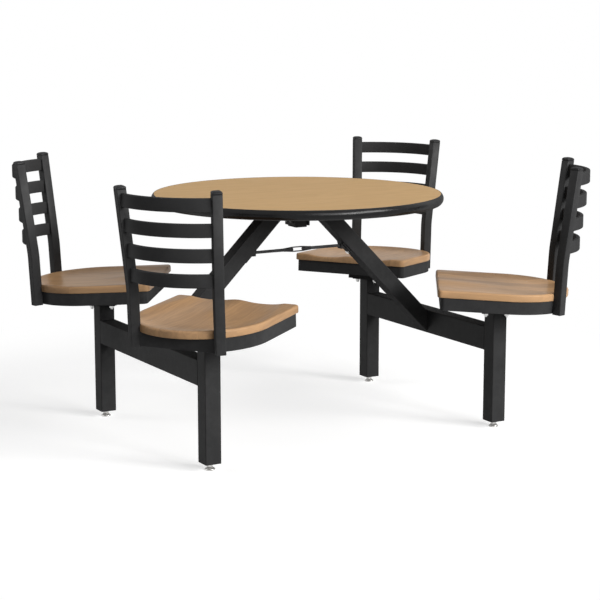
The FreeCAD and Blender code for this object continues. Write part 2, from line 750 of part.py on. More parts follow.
def seat_frame(corner):
    """The welded steel apron with its cross tubes and corner tabs."""
    top = "apron_height"
    inner_half, inner_front = f"({APRON_HALF} - apron_wall)", f"({APRON_FRONT} - apron_wall)"
    corner_in = "(seat_corner - apron_wall)"
    outside = seat_plan(APRON_HALF, APRON_FRONT, "seat_corner", "0", top)
    inside = seat_plan(inner_half, inner_front, corner_in, "0", top)
    ahead_of_bar = block(("-rear_bar_place", FAR), across(FAR), (f"-{FAR}", FAR))
    band = common(cut(outside, [inside]), ahead_of_bar)
    rear_bar = cut(
        block(("-rear_bar_place", "-rear_bar_place + apron_wall"), across(f"2 * {POST_Y}"), ("0", top)),
        [post_blank(side) for side in ("", "-")],
    )
    within = seat_plan(inner_half, inner_front, corner_in, "0", top)
    pieces = []
    for side in ("", "-"):
        centre = f"{side}cross_tube_place"
        wide = "cross_tube_width / 2"
        tube = block((f"{centre} - {wide}", f"{centre} + {wide}"), across(FAR), ("0", top))
        bore = block(
            (f"{centre} - {wide} + cross_tube_wall", f"{centre} + {wide} - cross_tube_wall"), across(FAR),
            ("cross_tube_wall", f"{top} - cross_tube_wall"),
        )
        pieces.append(common(cut(tube, [bore]), within))
    tab_low = f"{top} - apron_wall"
    for side in ("", "-"):
        front_tab = block(
            (f"{inner_front} - tab_size", inner_front),
            sorted_pair(side, f"{inner_half} - tab_size", inner_half), (tab_low, top),
        )
        back_tab = block(
            ("-tab_back_place", "-tab_back_place + tab_size"),
            sorted_pair(side, "tab_back_reach", "seat_width"), (tab_low, top),
        )
        pieces += [common(front_tab, within), common(back_tab, within)]
    holes = [round_bar("screw_radius", tab_low, top, x, y) for x, y in wood_screw_places()]
    holes += [round_bar("bolt_radius", "0", "cross_tube_wall", x, y) for x, y in head_bolt_places()]
    node(at_seat(cut(join([band, rear_bar, *pieces]), holes), corner), f"{corner}_seat_frame")


def sorted_pair(side, near, wide):
    """A (low, high) pair on the left or, with a minus sign, on the right of the middle."""
    return (f"-({wide})", f"-({near})") if side else (near, wide)


def seat_screws(corner):
    """Wood screws up through the tabs, and bolts that join the frame to the swivel head."""
    tab_low = "apron_height - apron_wall"
    parts = []
    for x, y in wood_screw_places():
        parts.append(join([
            round_bar("screw_head_radius", f"{tab_low} - screw_head_height", tab_low, x, y),
            round_bar("screw_radius", tab_low, "apron_height + wood_screw_length", x, y),
        ]))
    for x, y in head_bolt_places():
        parts.append(join([
            round_bar("bolt_head_radius", "-head_bolt_seat - head_bolt_head", "-head_bolt_seat", x, y),
            round_bar("bolt_radius", "-head_bolt_seat", "head_bolt_rise", x, y),
            hexagon("bolt_head_radius", "cross_tube_wall", "cross_tube_wall + nut_height", x, y),
        ]))
    node(at_seat(group(parts), corner), f"{corner}_seat_screws")


def swivel_head(corner):
    """The turning half of the swivel: a wedge plate that sets the seat's tilt, and its hub."""
    slab = block(
        across("swivel_length"), across("swivel_width"), (HEAD_BOTTOM, "frame_base_height + tube_size")
    )
    above = place(
        group([block(across(FAR), across(FAR), ("0", FAR))]), z="frame_base_height", pitch="-seat_tilt"
    )
    hub = round_bar("hub_radius", HEAD_BOTTOM, f"{SPINDLE_TOP} - running_clearance")
    bore = round_bar(f"{BUSHING_RADIUS} + running_clearance", LEG_TOP, "table_height")
    sockets = []
    for x, y in head_bolt_places():
        sockets.append(round_bar("bolt_radius", "-head_bolt_seat", "cross_tube_wall", x, y))
        sockets.append(
            round_bar("bolt_head_radius + bolt_hole_clear", "-tube_size", "-head_bolt_seat", x, y)
        )
    bolt_sockets = place(group(sockets), z="frame_base_height", pitch="-seat_tilt")
    wedge = cut(slab, [above])
    node(at_corner(cut(join([wedge, hub]), [bore, bolt_sockets]), corner), f"{corner}_swivel_head")


def sheared(low, high, size, shift_x, shift_y):
    """An upright bar of square section whose upper end is shifted sideways."""
    item = doc.addObject("Part::Wedge", "Sheared")
    half = f"(({size}) / 2)"
    bind(
        item, Xmin=f"-{half}", Xmax=half, Zmin=f"-{half}", Zmax=half, Ymin="0", Ymax=f"{high} - ({low})",
        X2min=f"{shift_x} - {half}", X2max=f"{shift_x} + {half}",
        Z2min=f"-({shift_y}) - {half}", Z2max=f"-({shift_y}) + {half}",
    )
    return item


def stand(item, x, y, z):
    """Turn a sheared bar upright and set its foot."""
    return place(item, x, y, z, roll="90")


def at_post(item, side):
    """Stand a piece at a post, turned so that one face lies along the round band."""
    return place(item, POST_X, f"{side}{POST_Y}", yaw="post_turn" if side else "-post_turn")


def post_bar(side, size, low, high):
    """A square bar beside the seat: upright up to the kink, then leaning back and outwards."""
    shift_x = f"({POST_SHIFT} * cos(post_turn) - {POST_SPREAD} * sin(post_turn))"
    shift_y = f"{side}({POST_SHIFT} * sin(post_turn) + {POST_SPREAD} * cos(post_turn))"
    foot = block(across(size), across(size), (low, "post_kink"))
    upper = stand(sheared("post_kink", high, size, shift_x, shift_y), "0", "0", "post_kink")
    return [foot, upper], (shift_x, shift_y)


def post_blank(side):
    """The outside of a post with its domed cap, as one solid."""
    cap_low = "(post_top - post_cap_height)"
    bar, (x, y) = post_bar(side, "post_size", "-post_drop", cap_low)
    dome = doc.addObject("Part::Sphere", "Dome")
    bind(dome, Radius="post_dome_radius")
    place(dome, x, y, "post_top - post_dome_radius")
    plug = place(
        group([block(across("post_size"), across("post_size"), (cap_low, "post_top"))]), x, y
    )
    return at_post(join([*bar, common(plug, dome)]), side)


def back_posts(corner):
    """Two square tubes, each closed by a domed cap."""
    posts = []
    for side in ("", "-"):
        inner = "(post_size - 2 * post_wall)"
        bore, _ = post_bar(side, inner, "-2 * post_drop", "(post_top - post_cap_height)")
        posts.append(cut(post_blank(side), [at_post(join(bore), side)]))
    node(at_seat(group(posts), corner), f"{corner}_back_posts")


def back_rails(corner):
    """Ladder rails of flat tube, level and bowed backwards, that meet the posts squarely."""
    rails = []
    for index in range(DIMENSIONS["rail_count"]):
        height = f"(rail_first + {index} * rail_pitch)"
        above = f"({height} - post_kink)"
        chord = f"({POST_Y} + {above} * tan(post_splay) - post_size / 2 * cos(post_turn))"
        depth = "(rail_bow - post_size / 2 * sin(post_turn))"
        radius = f"(({chord} ^ 2 + {depth} ^ 2) / (2 * {depth}))"
        outer = rail_ring(radius, "rail_thickness", "rail_height")
        bore = rail_ring(radius, "rail_thickness - 2 * rail_wall", "rail_height - 2 * rail_wall")
        ring = place(group([cut(outer, [bore])]), x=f"{radius} - rail_bow")
        post_line = f"{POST_X} - {above} * tan(post_lean)"
        rails.append(place(group([ring]), post_line, "0", height, pitch="seat_tilt"))
    between = common(group(rails), stand(bay_between_posts(), POST_X, "0", "post_kink"))
    node(at_seat(cut(between, [post_blank(side) for side in ("", "-")]), corner), f"{corner}_back_rails")


def rail_ring(radius, thickness, height):
    """The back half of a ring, centred on the origin."""
    ring = cut(
        round_bar(f"{radius} + ({thickness}) / 2", f"-({height}) / 2", f"({height}) / 2"),
        [round_bar(f"{radius} - ({thickness}) / 2", f"-({height})", f"({height})")],
    )
    behind = block((f"-{FAR}", f"-{radius} / 4"), across(FAR), across("2 * rail_pitch"))
    return common(ring, behind)


def bay_between_posts():
    """The room between the two posts' centre lines above the kink."""
    item = doc.addObject("Part::Wedge", "Bay")
    bind(
        item, Xmin=f"-{FAR}", Xmax=FAR, Zmin=f"-{POST_Y}", Zmax=POST_Y, Ymin="0", Ymax=POST_RISE,
        X2min=f"-{FAR}", X2max=FAR, Z2min=f"-{POST_Y} - {POST_SPREAD}", Z2max=f"{POST_Y} + {POST_SPREAD}",
    )
    return item


def build():
    """Make every sub-part."""
    table_top()
    top_screws()
    beams()
    for side in SIDES:
        brace(side)
        top_plate(side)
    centre_joint()
    tie_rods()
    rod_anchors()
    legs()
    swivel_bases()
    for corner in CORNERS:
        glide(corner)
        seat(corner)
        seat_frame(corner)
        seat_screws(corner)
        swivel_head(corner)
        back_posts(corner)
        back_rails(corner)
    doc.recompute()


def export():
    """Check every object, then write one STEP file for each sub-part."""
    for item in doc.Objects:
        if "Invalid" in item.State or "Error" in item.State:
            raise RuntimeError(f"{item.Label} failed: {item.State}")
    for item in nodes:
        if item.Shape.isNull() or not item.Shape.isValid():
            raise RuntimeError(f"{item.Label} has no valid shape")
    os.makedirs("parts", exist_ok=True)
    for item in nodes:
        item.Shape.exportStep(f"parts/{item.Label}.step")
        box = item.Shape.BoundBox
        print(
            f"{item.Label}: {len(item.Shape.Solids)} solids, {item.Shape.Volume / 1000:.1f} cm3, "
            f"z {box.ZMin:.1f} to {box.ZMax:.1f}"
        )
    print(f"{len(nodes)} sub-parts")


build()
export()
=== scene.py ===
import json
import math

import bmesh
import bpy
from mathutils import Matrix, Vector


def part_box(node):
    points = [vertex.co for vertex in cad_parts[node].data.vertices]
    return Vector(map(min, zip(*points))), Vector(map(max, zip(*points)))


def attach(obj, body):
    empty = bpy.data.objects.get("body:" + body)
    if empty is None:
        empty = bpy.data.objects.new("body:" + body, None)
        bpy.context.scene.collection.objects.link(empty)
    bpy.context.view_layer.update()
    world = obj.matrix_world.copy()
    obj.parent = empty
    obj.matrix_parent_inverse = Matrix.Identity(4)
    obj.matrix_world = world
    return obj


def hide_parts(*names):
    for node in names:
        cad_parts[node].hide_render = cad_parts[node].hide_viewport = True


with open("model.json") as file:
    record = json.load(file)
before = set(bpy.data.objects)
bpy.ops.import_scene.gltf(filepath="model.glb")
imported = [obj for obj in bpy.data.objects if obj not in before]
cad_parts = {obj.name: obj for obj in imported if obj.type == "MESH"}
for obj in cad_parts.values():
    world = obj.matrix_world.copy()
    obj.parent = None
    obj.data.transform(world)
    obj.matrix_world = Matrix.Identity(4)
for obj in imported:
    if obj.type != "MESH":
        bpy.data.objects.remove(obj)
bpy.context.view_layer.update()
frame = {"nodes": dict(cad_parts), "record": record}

nodes = frame["nodes"]
mm = 0.001
tableBody = "side_frames_and_top"
chairTurns = {"front_left": 34.9, "front_right": 146.6, "back_right": 214.5, "back_left": -35.7}  # degrees

print("camera")
cameraView = {
    "place": (-2.7105, -4.7193, 1.3777),
    "tiltDegrees": 79.753,
    "turnDegrees": -29.957,
    "lens": 104.78,
}
camera = bpy.data.objects.new("viewCamera", bpy.data.cameras.new("viewCamera"))
camera.location = cameraView["place"]
camera.rotation_euler = (math.radians(cameraView["tiltDegrees"]), 0, math.radians(cameraView["turnDegrees"]))
camera.data.lens = cameraView["lens"]
bpy.context.scene.collection.objects.link(camera)
bpy.context.scene.camera = camera
bpy.context.scene.view_settings.view_transform = "Standard"


# helpers for node trees

def addNode(tree, kind, wires=None, **settings):
    node = tree.nodes.new(kind)
    for key, value in settings.items():
        setattr(node, key, value)
    for key, value in (wires or {}).items():
        if isinstance(value, bpy.types.NodeSocket):
            tree.links.new(value, node.inputs[key])
        else:
            node.inputs[key].default_value = value
    return node


def shaderOut(tree, kind, wires=None, output=0, **settings):
    return addNode(tree, "ShaderNode" + kind, wires, **settings).outputs[output]


def geometryOut(tree, kind, wires=None, **settings):
    return addNode(tree, "GeometryNode" + kind, wires, **settings).outputs[0]


def doMath(tree, operation, first, second=0.0, clamp=False):
    return shaderOut(tree, "Math", {0: first, 1: second}, operation=operation, use_clamp=clamp)


def times(tree, first, second):
    return doMath(tree, "MULTIPLY", first, second)


def doVector(tree, operation, first, second):
    return shaderOut(tree, "VectorMath", {0: first, 1: second}, operation=operation)


def mixColour(tree, share, first, second):
    return shaderOut(tree, "Mix", {0: share, 6: first, 7: second}, 2, data_type="RGBA")


def remap(tree, value, low, high, newLow=0.0, newHigh=1.0, smooth=True):
    wires = {"Value": value, "From Min": low, "From Max": high, "To Min": newLow, "To Max": newHigh}
    style = "SMOOTHSTEP" if smooth else "LINEAR"
    return shaderOut(tree, "MapRange", wires, interpolation_type=style)


def noiseAt(tree, place, scale, detail, roughness):
    wires = {"Vector": place, "Scale": scale, "Detail": detail, "Roughness": roughness}
    return shaderOut(tree, "TexNoise", wires)


socketKinds = {
    bool: "Bool", int: "Int", float: "Float", bpy.types.Material: "Material", type(None): "Geometry",
    3: "Vector", 4: "Color",  # by the length of a tuple
}


def newTree(name, takes, gives, kind="ShaderNodeTree"):  # inputs by their starting values, outputs by kind
    tree = bpy.data.node_groups.new(name, kind)
    for label, start in takes.items():
        sort = socketKinds[len(start) if isinstance(start, tuple) else type(start)]
        socket = tree.interface.new_socket(name=label, in_out="INPUT", socket_type="NodeSocket" + sort)
        if start is not None:
            socket.default_value = start
    for label, sort in gives.items():
        tree.interface.new_socket(name=label, in_out="OUTPUT", socket_type="NodeSocket" + sort)
    return tree, tree.nodes.new("NodeGroupInput").outputs, tree.nodes.new("NodeGroupOutput").inputs


def useGroup(tree, group, wires):
    return addNode(tree, "ShaderNodeGroup", wires, node_tree=group).outputs


def newMaterial(name, **shaderValues):
    material = bpy.data.materials.new(name)
    material.use_nodes = True
    tree = material.node_tree
    shader = tree.nodes["Principled BSDF"]
    for key, value in shaderValues.items():
        shader.inputs[key.replace("_", " ")].default_value = value
    return material, tree, shader


def bumpInto(tree, shader, height, strength, distance):
    bump = addNode(tree, "ShaderNodeBump", {"Height": height, "Strength": strength, "Distance": distance})
    tree.links.new(bump.outputs[0], shader.inputs["Normal"])


print("shader groups")
skinNoise = {  # detail and roughness, after the scale where it is the same on every piece
    "pebbles": (2.0, 0.55), "coatClouds": (4.0, 0.6), "scratches": (4.0, 0.6),
    "plateClouds": (70.0, 3.0, 0.6), "patches": (34.0, 5.0, 0.65), "cloudEdge": (0.3, 0.7),
    # the last entry is the least share of the corner mask, which paints wear and a painted edge highlight
    "patchEdge": (0.35, 0.7), "leastWearAndHighlight": 0.3,
}


def makeCoatSkin():  # the pebbled skin of sprayed powder or moulded vinyl
    inputs = {"Place": (0, 0, 0), "Pebbles": 900.0, "Clouds": 9.0}
    tree, takes, gives = newTree("coatSkin", inputs, {"Tone": "Float", "Height": "Float"})
    clouds = noiseAt(tree, takes["Place"], takes["Clouds"], *skinNoise["coatClouds"])
    tree.links.new(remap(tree, clouds, *skinNoise["cloudEdge"]), gives["Tone"])
    tree.links.new(noiseAt(tree, takes["Place"], takes["Pebbles"], *skinNoise["pebbles"]), gives["Height"])
    return tree


def makeEdgeWearAndHighlight():  # a mask at the corners from the pieces' own rim values: where hands and cloths have rubbed them, and a painted edge highlight
    inputs = {"Place": (0, 0, 0), "Rim": 0.0, "Amount": 0.5}
    tree, takes, gives = newTree("edgeWearAndHighlight", inputs, {"Mask": "Float"})
    patches = remap(tree, noiseAt(tree, takes["Place"], *skinNoise["patches"]), *skinNoise["patchEdge"])
    least = skinNoise["leastWearAndHighlight"]
    broken = times(tree, takes["Rim"], doMath(tree, "ADD", times(tree, patches, 1 - least), least))
    tree.links.new(doMath(tree, "MULTIPLY", broken, takes["Amount"], clamp=True), gives["Mask"])
    return tree


woodGrain = {  # each noise: its scale along and across the staves, its detail and roughness
    "wander": (2.2, 14.0, 3.0, 0.5), "fibres": (9.0, 420.0, 5.0, 0.62), "pores": (42.0, 1500.0, 1.0, 0.5),
    "blush": (4.0, 22.0, 2.0, 0.5), "ringWander": 9.0, "poreEdge": (0.66, 0.76), "seamEdge": (0.488, 0.498),
    "ringWeight": 0.30, "fibreWeight": 0.9, "blushWeight": 0.9, "poreWeight": 0.35, "middleTone": 0.42,
    "seamShare": 0.12, "seamColour": (0.16, 0.085, 0.04, 1), "jump": (7.0, 5.0, 3.0), "fibreRise": 0.4,
    "poreDepth": 0.5, "sheenEdge": (0.3, 0.7),
}


def grainNoise(tree, place, along, across, detail, roughness):
    drawnOut = doVector(tree, "MULTIPLY", place, (along, across, across))
    return noiseAt(tree, drawnOut, 1.0, detail, roughness)


def swing(tree, value, weight):  # up and down from the middle of 0 to 1
    return times(tree, doMath(tree, "SUBTRACT", value, 0.5), weight)


def makeWoodFigure():  # staves side by side along Y, each with its own tone and fibres along X
    inputs = {
        "Place": (0, 0, 0), "Stave": 0.05, "Rings": 60.0, "Stave contrast": 1.0, "Fibre contrast": 1.0,
        "Pale": (0.5, 0.3, 0.15, 1), "Deep": (0.4, 0.2, 0.1, 1),
    }
    outputs = {"Colour": "Color", "Height": "Float", "Sheen": "Float"}
    tree, takes, gives = newTree("woodFigure", inputs, outputs)
    look = woodGrain
    across = shaderOut(tree, "SeparateXYZ", {0: takes["Place"]}, "Y")
    lane = doMath(tree, "DIVIDE", across, takes["Stave"])
    laneIndex = doMath(tree, "FLOOR", lane)
    draws = addNode(tree, "ShaderNodeTexWhiteNoise", {"W": laneIndex}, noise_dimensions="1D").outputs
    jump = doVector(tree, "MULTIPLY", draws["Color"], look["jump"])
    shifted = doVector(tree, "ADD", takes["Place"], jump)
    across = shaderOut(tree, "SeparateXYZ", {0: shifted}, "Y")
    wander = times(tree, grainNoise(tree, shifted, *look["wander"]), look["ringWander"])
    ringPlace = doMath(tree, "ADD", times(tree, across, takes["Rings"]), wander)
    rings = remap(tree, doMath(tree, "SINE", times(tree, ringPlace, 2 * math.pi)), -1.0, 1.0)
    fibres = grainNoise(tree, shifted, *look["fibres"])
    pores = remap(tree, grainNoise(tree, shifted, *look["pores"]), *look["poreEdge"])
    blush = swing(tree, grainNoise(tree, shifted, *look["blush"]), look["blushWeight"])
    figure = swing(tree, rings, look["ringWeight"])
    for layer in (swing(tree, fibres, look["fibreWeight"]), blush, times(tree, pores, look["poreWeight"])):
        figure = doMath(tree, "ADD", figure, layer)
    figure = times(tree, figure, takes["Fibre contrast"])
    tone = doMath(tree, "ADD", swing(tree, draws["Value"], takes["Stave contrast"]), look["middleTone"])
    share = doMath(tree, "ADD", tone, figure, clamp=True)
    colour = mixColour(tree, share, takes["Pale"], takes["Deep"])
    withinLane = doMath(tree, "ABSOLUTE", doMath(tree, "SUBTRACT", doMath(tree, "FRACT", lane), 0.5))
    seam = remap(tree, withinLane, *look["seamEdge"])
    seam = doMath(tree, "MULTIPLY", seam, takes["Stave contrast"], clamp=True)
    colour = mixColour(tree, times(tree, seam, look["seamShare"]), colour, look["seamColour"])
    tree.links.new(colour, gives["Colour"])
    raised, sunk = times(tree, fibres, look["fibreRise"]), times(tree, pores, look["poreDepth"])
    tree.links.new(doMath(tree, "SUBTRACT", raised, sunk), gives["Height"])
    tree.links.new(remap(tree, fibres, *look["sheenEdge"]), gives["Sheen"])
    return tree


def makePlating():  # drawn and plated metal: fine scratches over slow clouds
    inputs = {"Place": (0, 0, 0), "Stretch": (1, 1, 30), "Grain": 160.0}
    tree, takes, gives = newTree("plating", inputs, {"Tone": "Float", "Height": "Float"})
    stretched = doVector(tree, "MULTIPLY", takes["Place"], takes["Stretch"])
    clouds = noiseAt(tree, takes["Place"], *skinNoise["plateClouds"])
    tree.links.new(remap(tree, clouds, *skinNoise["cloudEdge"]), gives["Tone"])
    tree.links.new(noiseAt(tree, stretched, takes["Grain"], *skinNoise["scratches"]), gives["Height"])
    return tree


coatSkin = makeCoatSkin()
edgeWearAndHighlight = makeEdgeWearAndHighlight()
woodFigure = makeWoodFigure()
plating = makePlating()

print("materials")


def objectPlace(tree):
    return shaderOut(tree, "TexCoord", output="Object")


def dressMetal(tree, shader, place, skin, look):  # the skin's tones, with another colour at the corners: rubbed bare there, and where that colour is lighter, a painted edge highlight
    rim = shaderOut(tree, "Attribute", output="Fac", attribute_name="rim")
    wearAndHighlightMask = useGroup(tree, edgeWearAndHighlight, {"Place": place, "Rim": rim, "Amount": look["wearAndHighlightAmount"]})["Mask"]
    colour = mixColour(tree, skin["Tone"], look["dark"], look["light"])
    # the corner mask mixes in the corner colour: real wear, and where lighter, a painted edge highlight
    tree.links.new(mixColour(tree, wearAndHighlightMask, colour, look["wearAndHighlightColour"]), shader.inputs["Base Color"])
    bumpInto(tree, shader, skin["Height"], *look["bump"])
    return wearAndHighlightMask, remap(tree, skin["Tone"], 0, 1, *look["roughness"], smooth=False)


slantEdge = (0.4, 0.8)  # between these a coat that turns away from the eye grows duller


def coatedSteel(name, look):
    material, tree, shader = newMaterial(name, Specular_IOR_Level=look["specular"])
    place = objectPlace(tree)
    skin = useGroup(tree, coatSkin, {"Place": place, "Pebbles": look["pebbles"], "Clouds": look["clouds"]})
    wearAndHighlightMask, rough = dressMetal(tree, shader, place, skin, look)
    rough = doMath(tree, "SUBTRACT", rough, times(tree, wearAndHighlightMask, look["polish"]))
    slant = shaderOut(tree, "LayerWeight", {"Blend": 0.5}, "Facing")
    rough = doMath(tree, "ADD", rough, remap(tree, slant, *slantEdge, 0.0, look["slantRough"]))
    tree.links.new(rough, shader.inputs["Roughness"])
    return material


def platedMetal(name, look):
    material, tree, shader = newMaterial(name, Metallic=1.0)
    place = objectPlace(tree)
    metal = useGroup(tree, plating, {"Place": place, "Stretch": look["stretch"], "Grain": look["grain"]})
    rough = dressMetal(tree, shader, place, metal, look)[1]
    tree.links.new(rough, shader.inputs["Roughness"])
    return material


def solidWood(name, look):
    gloss = {"Specular_IOR_Level": look["specular"], "Coat_Weight": look["lacquer"][0]}
    material, tree, shader = newMaterial(name, Coat_Roughness=look["lacquer"][1], **gloss)
    if "shift" in look:
        place = shaderOut(tree, "Mapping", {0: objectPlace(tree), 1: look["shift"]})
    else:  # the piece holds its own place in the wood
        place = shaderOut(tree, "Attribute", output="Vector", attribute_name="grainPlace")
    wood = useGroup(tree, woodFigure, {"Place": place, **look["figure"]})
    tree.links.new(wood["Colour"], shader.inputs["Base Color"])
    rough = remap(tree, wood["Sheen"], 0, 1, *look["roughness"], smooth=False)
    tree.links.new(rough, shader.inputs["Roughness"])
    bumpInto(tree, shader, wood["Height"], *look["bump"])
    return material


# each look's corner colour: wear at the rims, and where it is lighter than the coat, a painted edge
# highlight; the nylon's darker corners are wear only
blackSteel = coatedSteel("blackPowderCoat", {
    "dark": (0.025, 0.025, 0.0255, 1), "light": (0.032, 0.032, 0.0325, 1), "wearAndHighlightColour": (0.07, 0.07, 0.071, 1),
    "pebbles": 850.0, "clouds": 7.0, "wearAndHighlightAmount": 0.35, "polish": 0.08, "roughness": (0.31, 0.38),
    "slantRough": 0.45, "specular": 0.06, "bump": (0.16, 0.0004),
})
blackRod = coatedSteel("blackRodFinish", {
    "dark": (0.016, 0.016, 0.016, 1), "light": (0.03, 0.03, 0.031, 1), "wearAndHighlightColour": (0.16, 0.16, 0.165, 1),
    "pebbles": 1400.0, "clouds": 26.0, "wearAndHighlightAmount": 0.6, "polish": 0.12, "roughness": (0.30, 0.42),
    "slantRough": 0.3, "specular": 0.1, "bump": (0.12, 0.0003),
})
edgeVinyl = coatedSteel("blackEdgeVinyl", {
    "dark": (0.002, 0.002, 0.0023, 1), "light": (0.004, 0.004, 0.0044, 1), "wearAndHighlightColour": (0.015, 0.015, 0.016, 1),
    "pebbles": 420.0, "clouds": 16.0, "wearAndHighlightAmount": 0.2, "polish": 0.03, "roughness": (0.20, 0.26),
    "slantRough": 0.45, "specular": 0.22, "bump": (0.34, 0.0007),
})
capPlastic = coatedSteel("blackCapPlastic", {
    "dark": (0.012, 0.012, 0.013, 1), "light": (0.018, 0.018, 0.019, 1), "wearAndHighlightColour": (0.05, 0.05, 0.052, 1),
    "pebbles": 700.0, "clouds": 40.0, "wearAndHighlightAmount": 0.3, "polish": 0.05, "roughness": (0.24, 0.32),
    "slantRough": 0.4, "specular": 0.12, "bump": (0.1, 0.0003),
})
backerSheet = coatedSteel("brownBackerSheet", {
    "dark": (0.055, 0.04, 0.03, 1), "light": (0.075, 0.055, 0.04, 1), "wearAndHighlightColour": (0.12, 0.1, 0.08, 1),
    "pebbles": 600.0, "clouds": 5.0, "wearAndHighlightAmount": 0.2, "polish": 0.0, "roughness": (0.55, 0.65),
    "slantRough": 0.0, "specular": 0.4, "bump": (0.2, 0.0004),
})
nylonBushing = coatedSteel("naturalNylon", {
    "dark": (0.62, 0.59, 0.5, 1), "light": (0.7, 0.68, 0.6, 1), "wearAndHighlightColour": (0.45, 0.43, 0.38, 1),
    "pebbles": 500.0, "clouds": 30.0, "wearAndHighlightAmount": 0.3, "polish": 0.0, "roughness": (0.32, 0.42),
    "slantRough": 0.0, "specular": 0.5, "bump": (0.1, 0.0003),
})
zincSkin = {"stretch": (1.0, 1.0, 6.0), "grain": 420.0, "bump": (0.14, 0.0003)}
# the plated metals' corner colours are lighter too: wear with a painted edge highlight, strongest on the
# nickel
zincPlate = platedMetal("zincPlate", {
    "dark": (0.5, 0.5, 0.49, 1), "light": (0.66, 0.66, 0.66, 1), "wearAndHighlightColour": (0.8, 0.8, 0.8, 1),
    "wearAndHighlightAmount": 0.5, "roughness": (0.26, 0.4), **zincSkin,
})
blackZinc = platedMetal("blackZincPlate", {
    "dark": (0.02, 0.02, 0.02, 1), "light": (0.045, 0.045, 0.044, 1), "wearAndHighlightColour": (0.2, 0.2, 0.2, 1),
    "wearAndHighlightAmount": 0.4, "roughness": (0.3, 0.42), **zincSkin,
})
nickelPlate = platedMetal("nickelPlate", {
    "dark": (0.30, 0.295, 0.285, 1), "light": (0.46, 0.45, 0.44, 1), "wearAndHighlightColour": (0.85, 0.84, 0.82, 1),
    "stretch": (1.0, 1.0, 14.0), "grain": 300.0, "wearAndHighlightAmount": 0.8, "roughness": (0.14, 0.24),
    "bump": (0.07, 0.0002),
})
seatWood = solidWood("lacqueredSeatWood", {
    "figure": {
        "Stave": 0.058, "Rings": 38.0, "Pale": (0.58, 0.345, 0.175, 1), "Deep": (0.30, 0.185, 0.105, 1),
        "Stave contrast": 0.5, "Fibre contrast": 0.55,
    },
    "lacquer": (0.10, 0.19), "roughness": (0.34, 0.42), "specular": 0.02, "bump": (0.12, 0.0004),
})
topLaminate = solidWood("oakLaminate", {
    "figure": {
        "Stave": 4.0, "Rings": 24.0, "Pale": (0.60, 0.385, 0.175, 1), "Deep": (0.50, 0.31, 0.135, 1),
        "Stave contrast": 0.0, "Fibre contrast": 0.8,
    },
    "shift": (3.0, 7.0, 0.0), "lacquer": (0.0, 0.1), "roughness": (0.52, 0.60), "specular": 0.06,
    "bump": (0.06, 0.0003),
})
coreBoard = solidWood("particleBoard", {
    "figure": {
        "Stave": 0.011, "Rings": 5.0, "Pale": (0.55, 0.42, 0.28, 1), "Deep": (0.38, 0.27, 0.17, 1),
        "Stave contrast": 0.5, "Fibre contrast": 1.0,
    },
    "shift": (1.0, 2.0, 0.0), "lacquer": (0.0, 0.1), "roughness": (0.7, 0.85), "specular": 0.3,
    "bump": (0.4, 0.0006),
})
slotFinish = {
    "core_board": coreBoard, "top_laminate": topLaminate, "backer": backerSheet, "edge_moulding": edgeVinyl,
    "black_steel": blackSteel, "black_rod": blackRod, "zinc": zincPlate, "nickel": nickelPlate,
    "seat_wood": seatWood, "bushing": nylonBushing,
}
nodeSlot = {part["node"]: part["material_slot"] for part in frame["record"]["subparts"]}
bodies = frame["record"]["behaviour"]["bodies"]
nodeBody = {node: body for body, members in bodies.items() for node in members}


# helpers for meshes
mergeGap = 0.02 * mm
fullRimDegrees = 40


def arcPoints(x, y, radius, start, sweep, steps, last=0):  # angles in degrees; last is 1 to take in the end
    turns = [math.radians(start + sweep * step / steps) for step in range(steps + last)]
    return [(x + radius * math.cos(turn), y + radius * math.sin(turn)) for turn in turns]


def circle(radius, count):
    return arcPoints(0, 0, radius, 0, 360, count)


def runPoints(start, end, steps):  # a straight run without its end
    return [tuple(a + (b - a) * step / steps for a, b in zip(start, end)) for step in range(steps)]


def roundedSquare(half, radius, steps):
    inner = half - radius
    corners = ((inner, inner), (-inner, inner), (-inner, -inner), (inner, -inner))
    return sum((arcPoints(*spot, radius, 90 * index, 90, steps, 1) for index, spot in enumerate(corners)), [])


def objectFrom(name, mesh):
    obj = bpy.data.objects.new(name, mesh)
    bpy.context.scene.collection.objects.link(obj)
    return obj


def meshFrom(name, work):
    mesh = bpy.data.meshes.new(name)
    work.to_mesh(mesh)
    work.free()
    return mesh


def finishWork(name, work):
    return objectFrom(name, meshFrom(name, work))


def appendWork(target, work, matrix=Matrix.Identity(4)):
    mesh = meshFrom("part", work)
    mesh.transform(matrix)
    target.from_mesh(mesh)
    bpy.data.meshes.remove(mesh)


def joinRings(rings, endless=False):  # a closed skin over equal rings of points in mm
    work = bmesh.new()
    made = [[work.verts.new(Vector(point) * mm) for point in ring] for ring in rings]
    count = len(made[0])
    for low, high in zip(made, made[1:] + made[:1] if endless else made[1:]):
        for index in range(count):
            after = (index + 1) % count
            work.faces.new((low[index], low[after], high[after], high[index]))
    if not endless:
        work.faces.new(list(reversed(made[0])))
        work.faces.new(made[-1])
    bmesh.ops.recalc_face_normals(work, faces=work.faces)
    return work


def mergedWork(node):  # a node's loose triangles, joined at their corners
    work = bmesh.new()
    work.from_mesh(nodes[node].data)
    bmesh.ops.remove_doubles(work, verts=work.verts, dist=mergeGap)
    return work


def makePlain(obj):  # the modifiers' result becomes the object's own mesh
    graph = bpy.context.evaluated_depsgraph_get()
    plain = bpy.data.meshes.new_from_object(obj.evaluated_get(graph))
    obj.modifiers.clear()
    obj.data = plain


def cutAway(obj, cutter):
    cut = obj.modifiers.new("cut", "BOOLEAN")
    cut.operation = "DIFFERENCE"
    cut.solver = "EXACT"
    cut.object = cutter
    makePlain(obj)
    bpy.data.objects.remove(cutter)


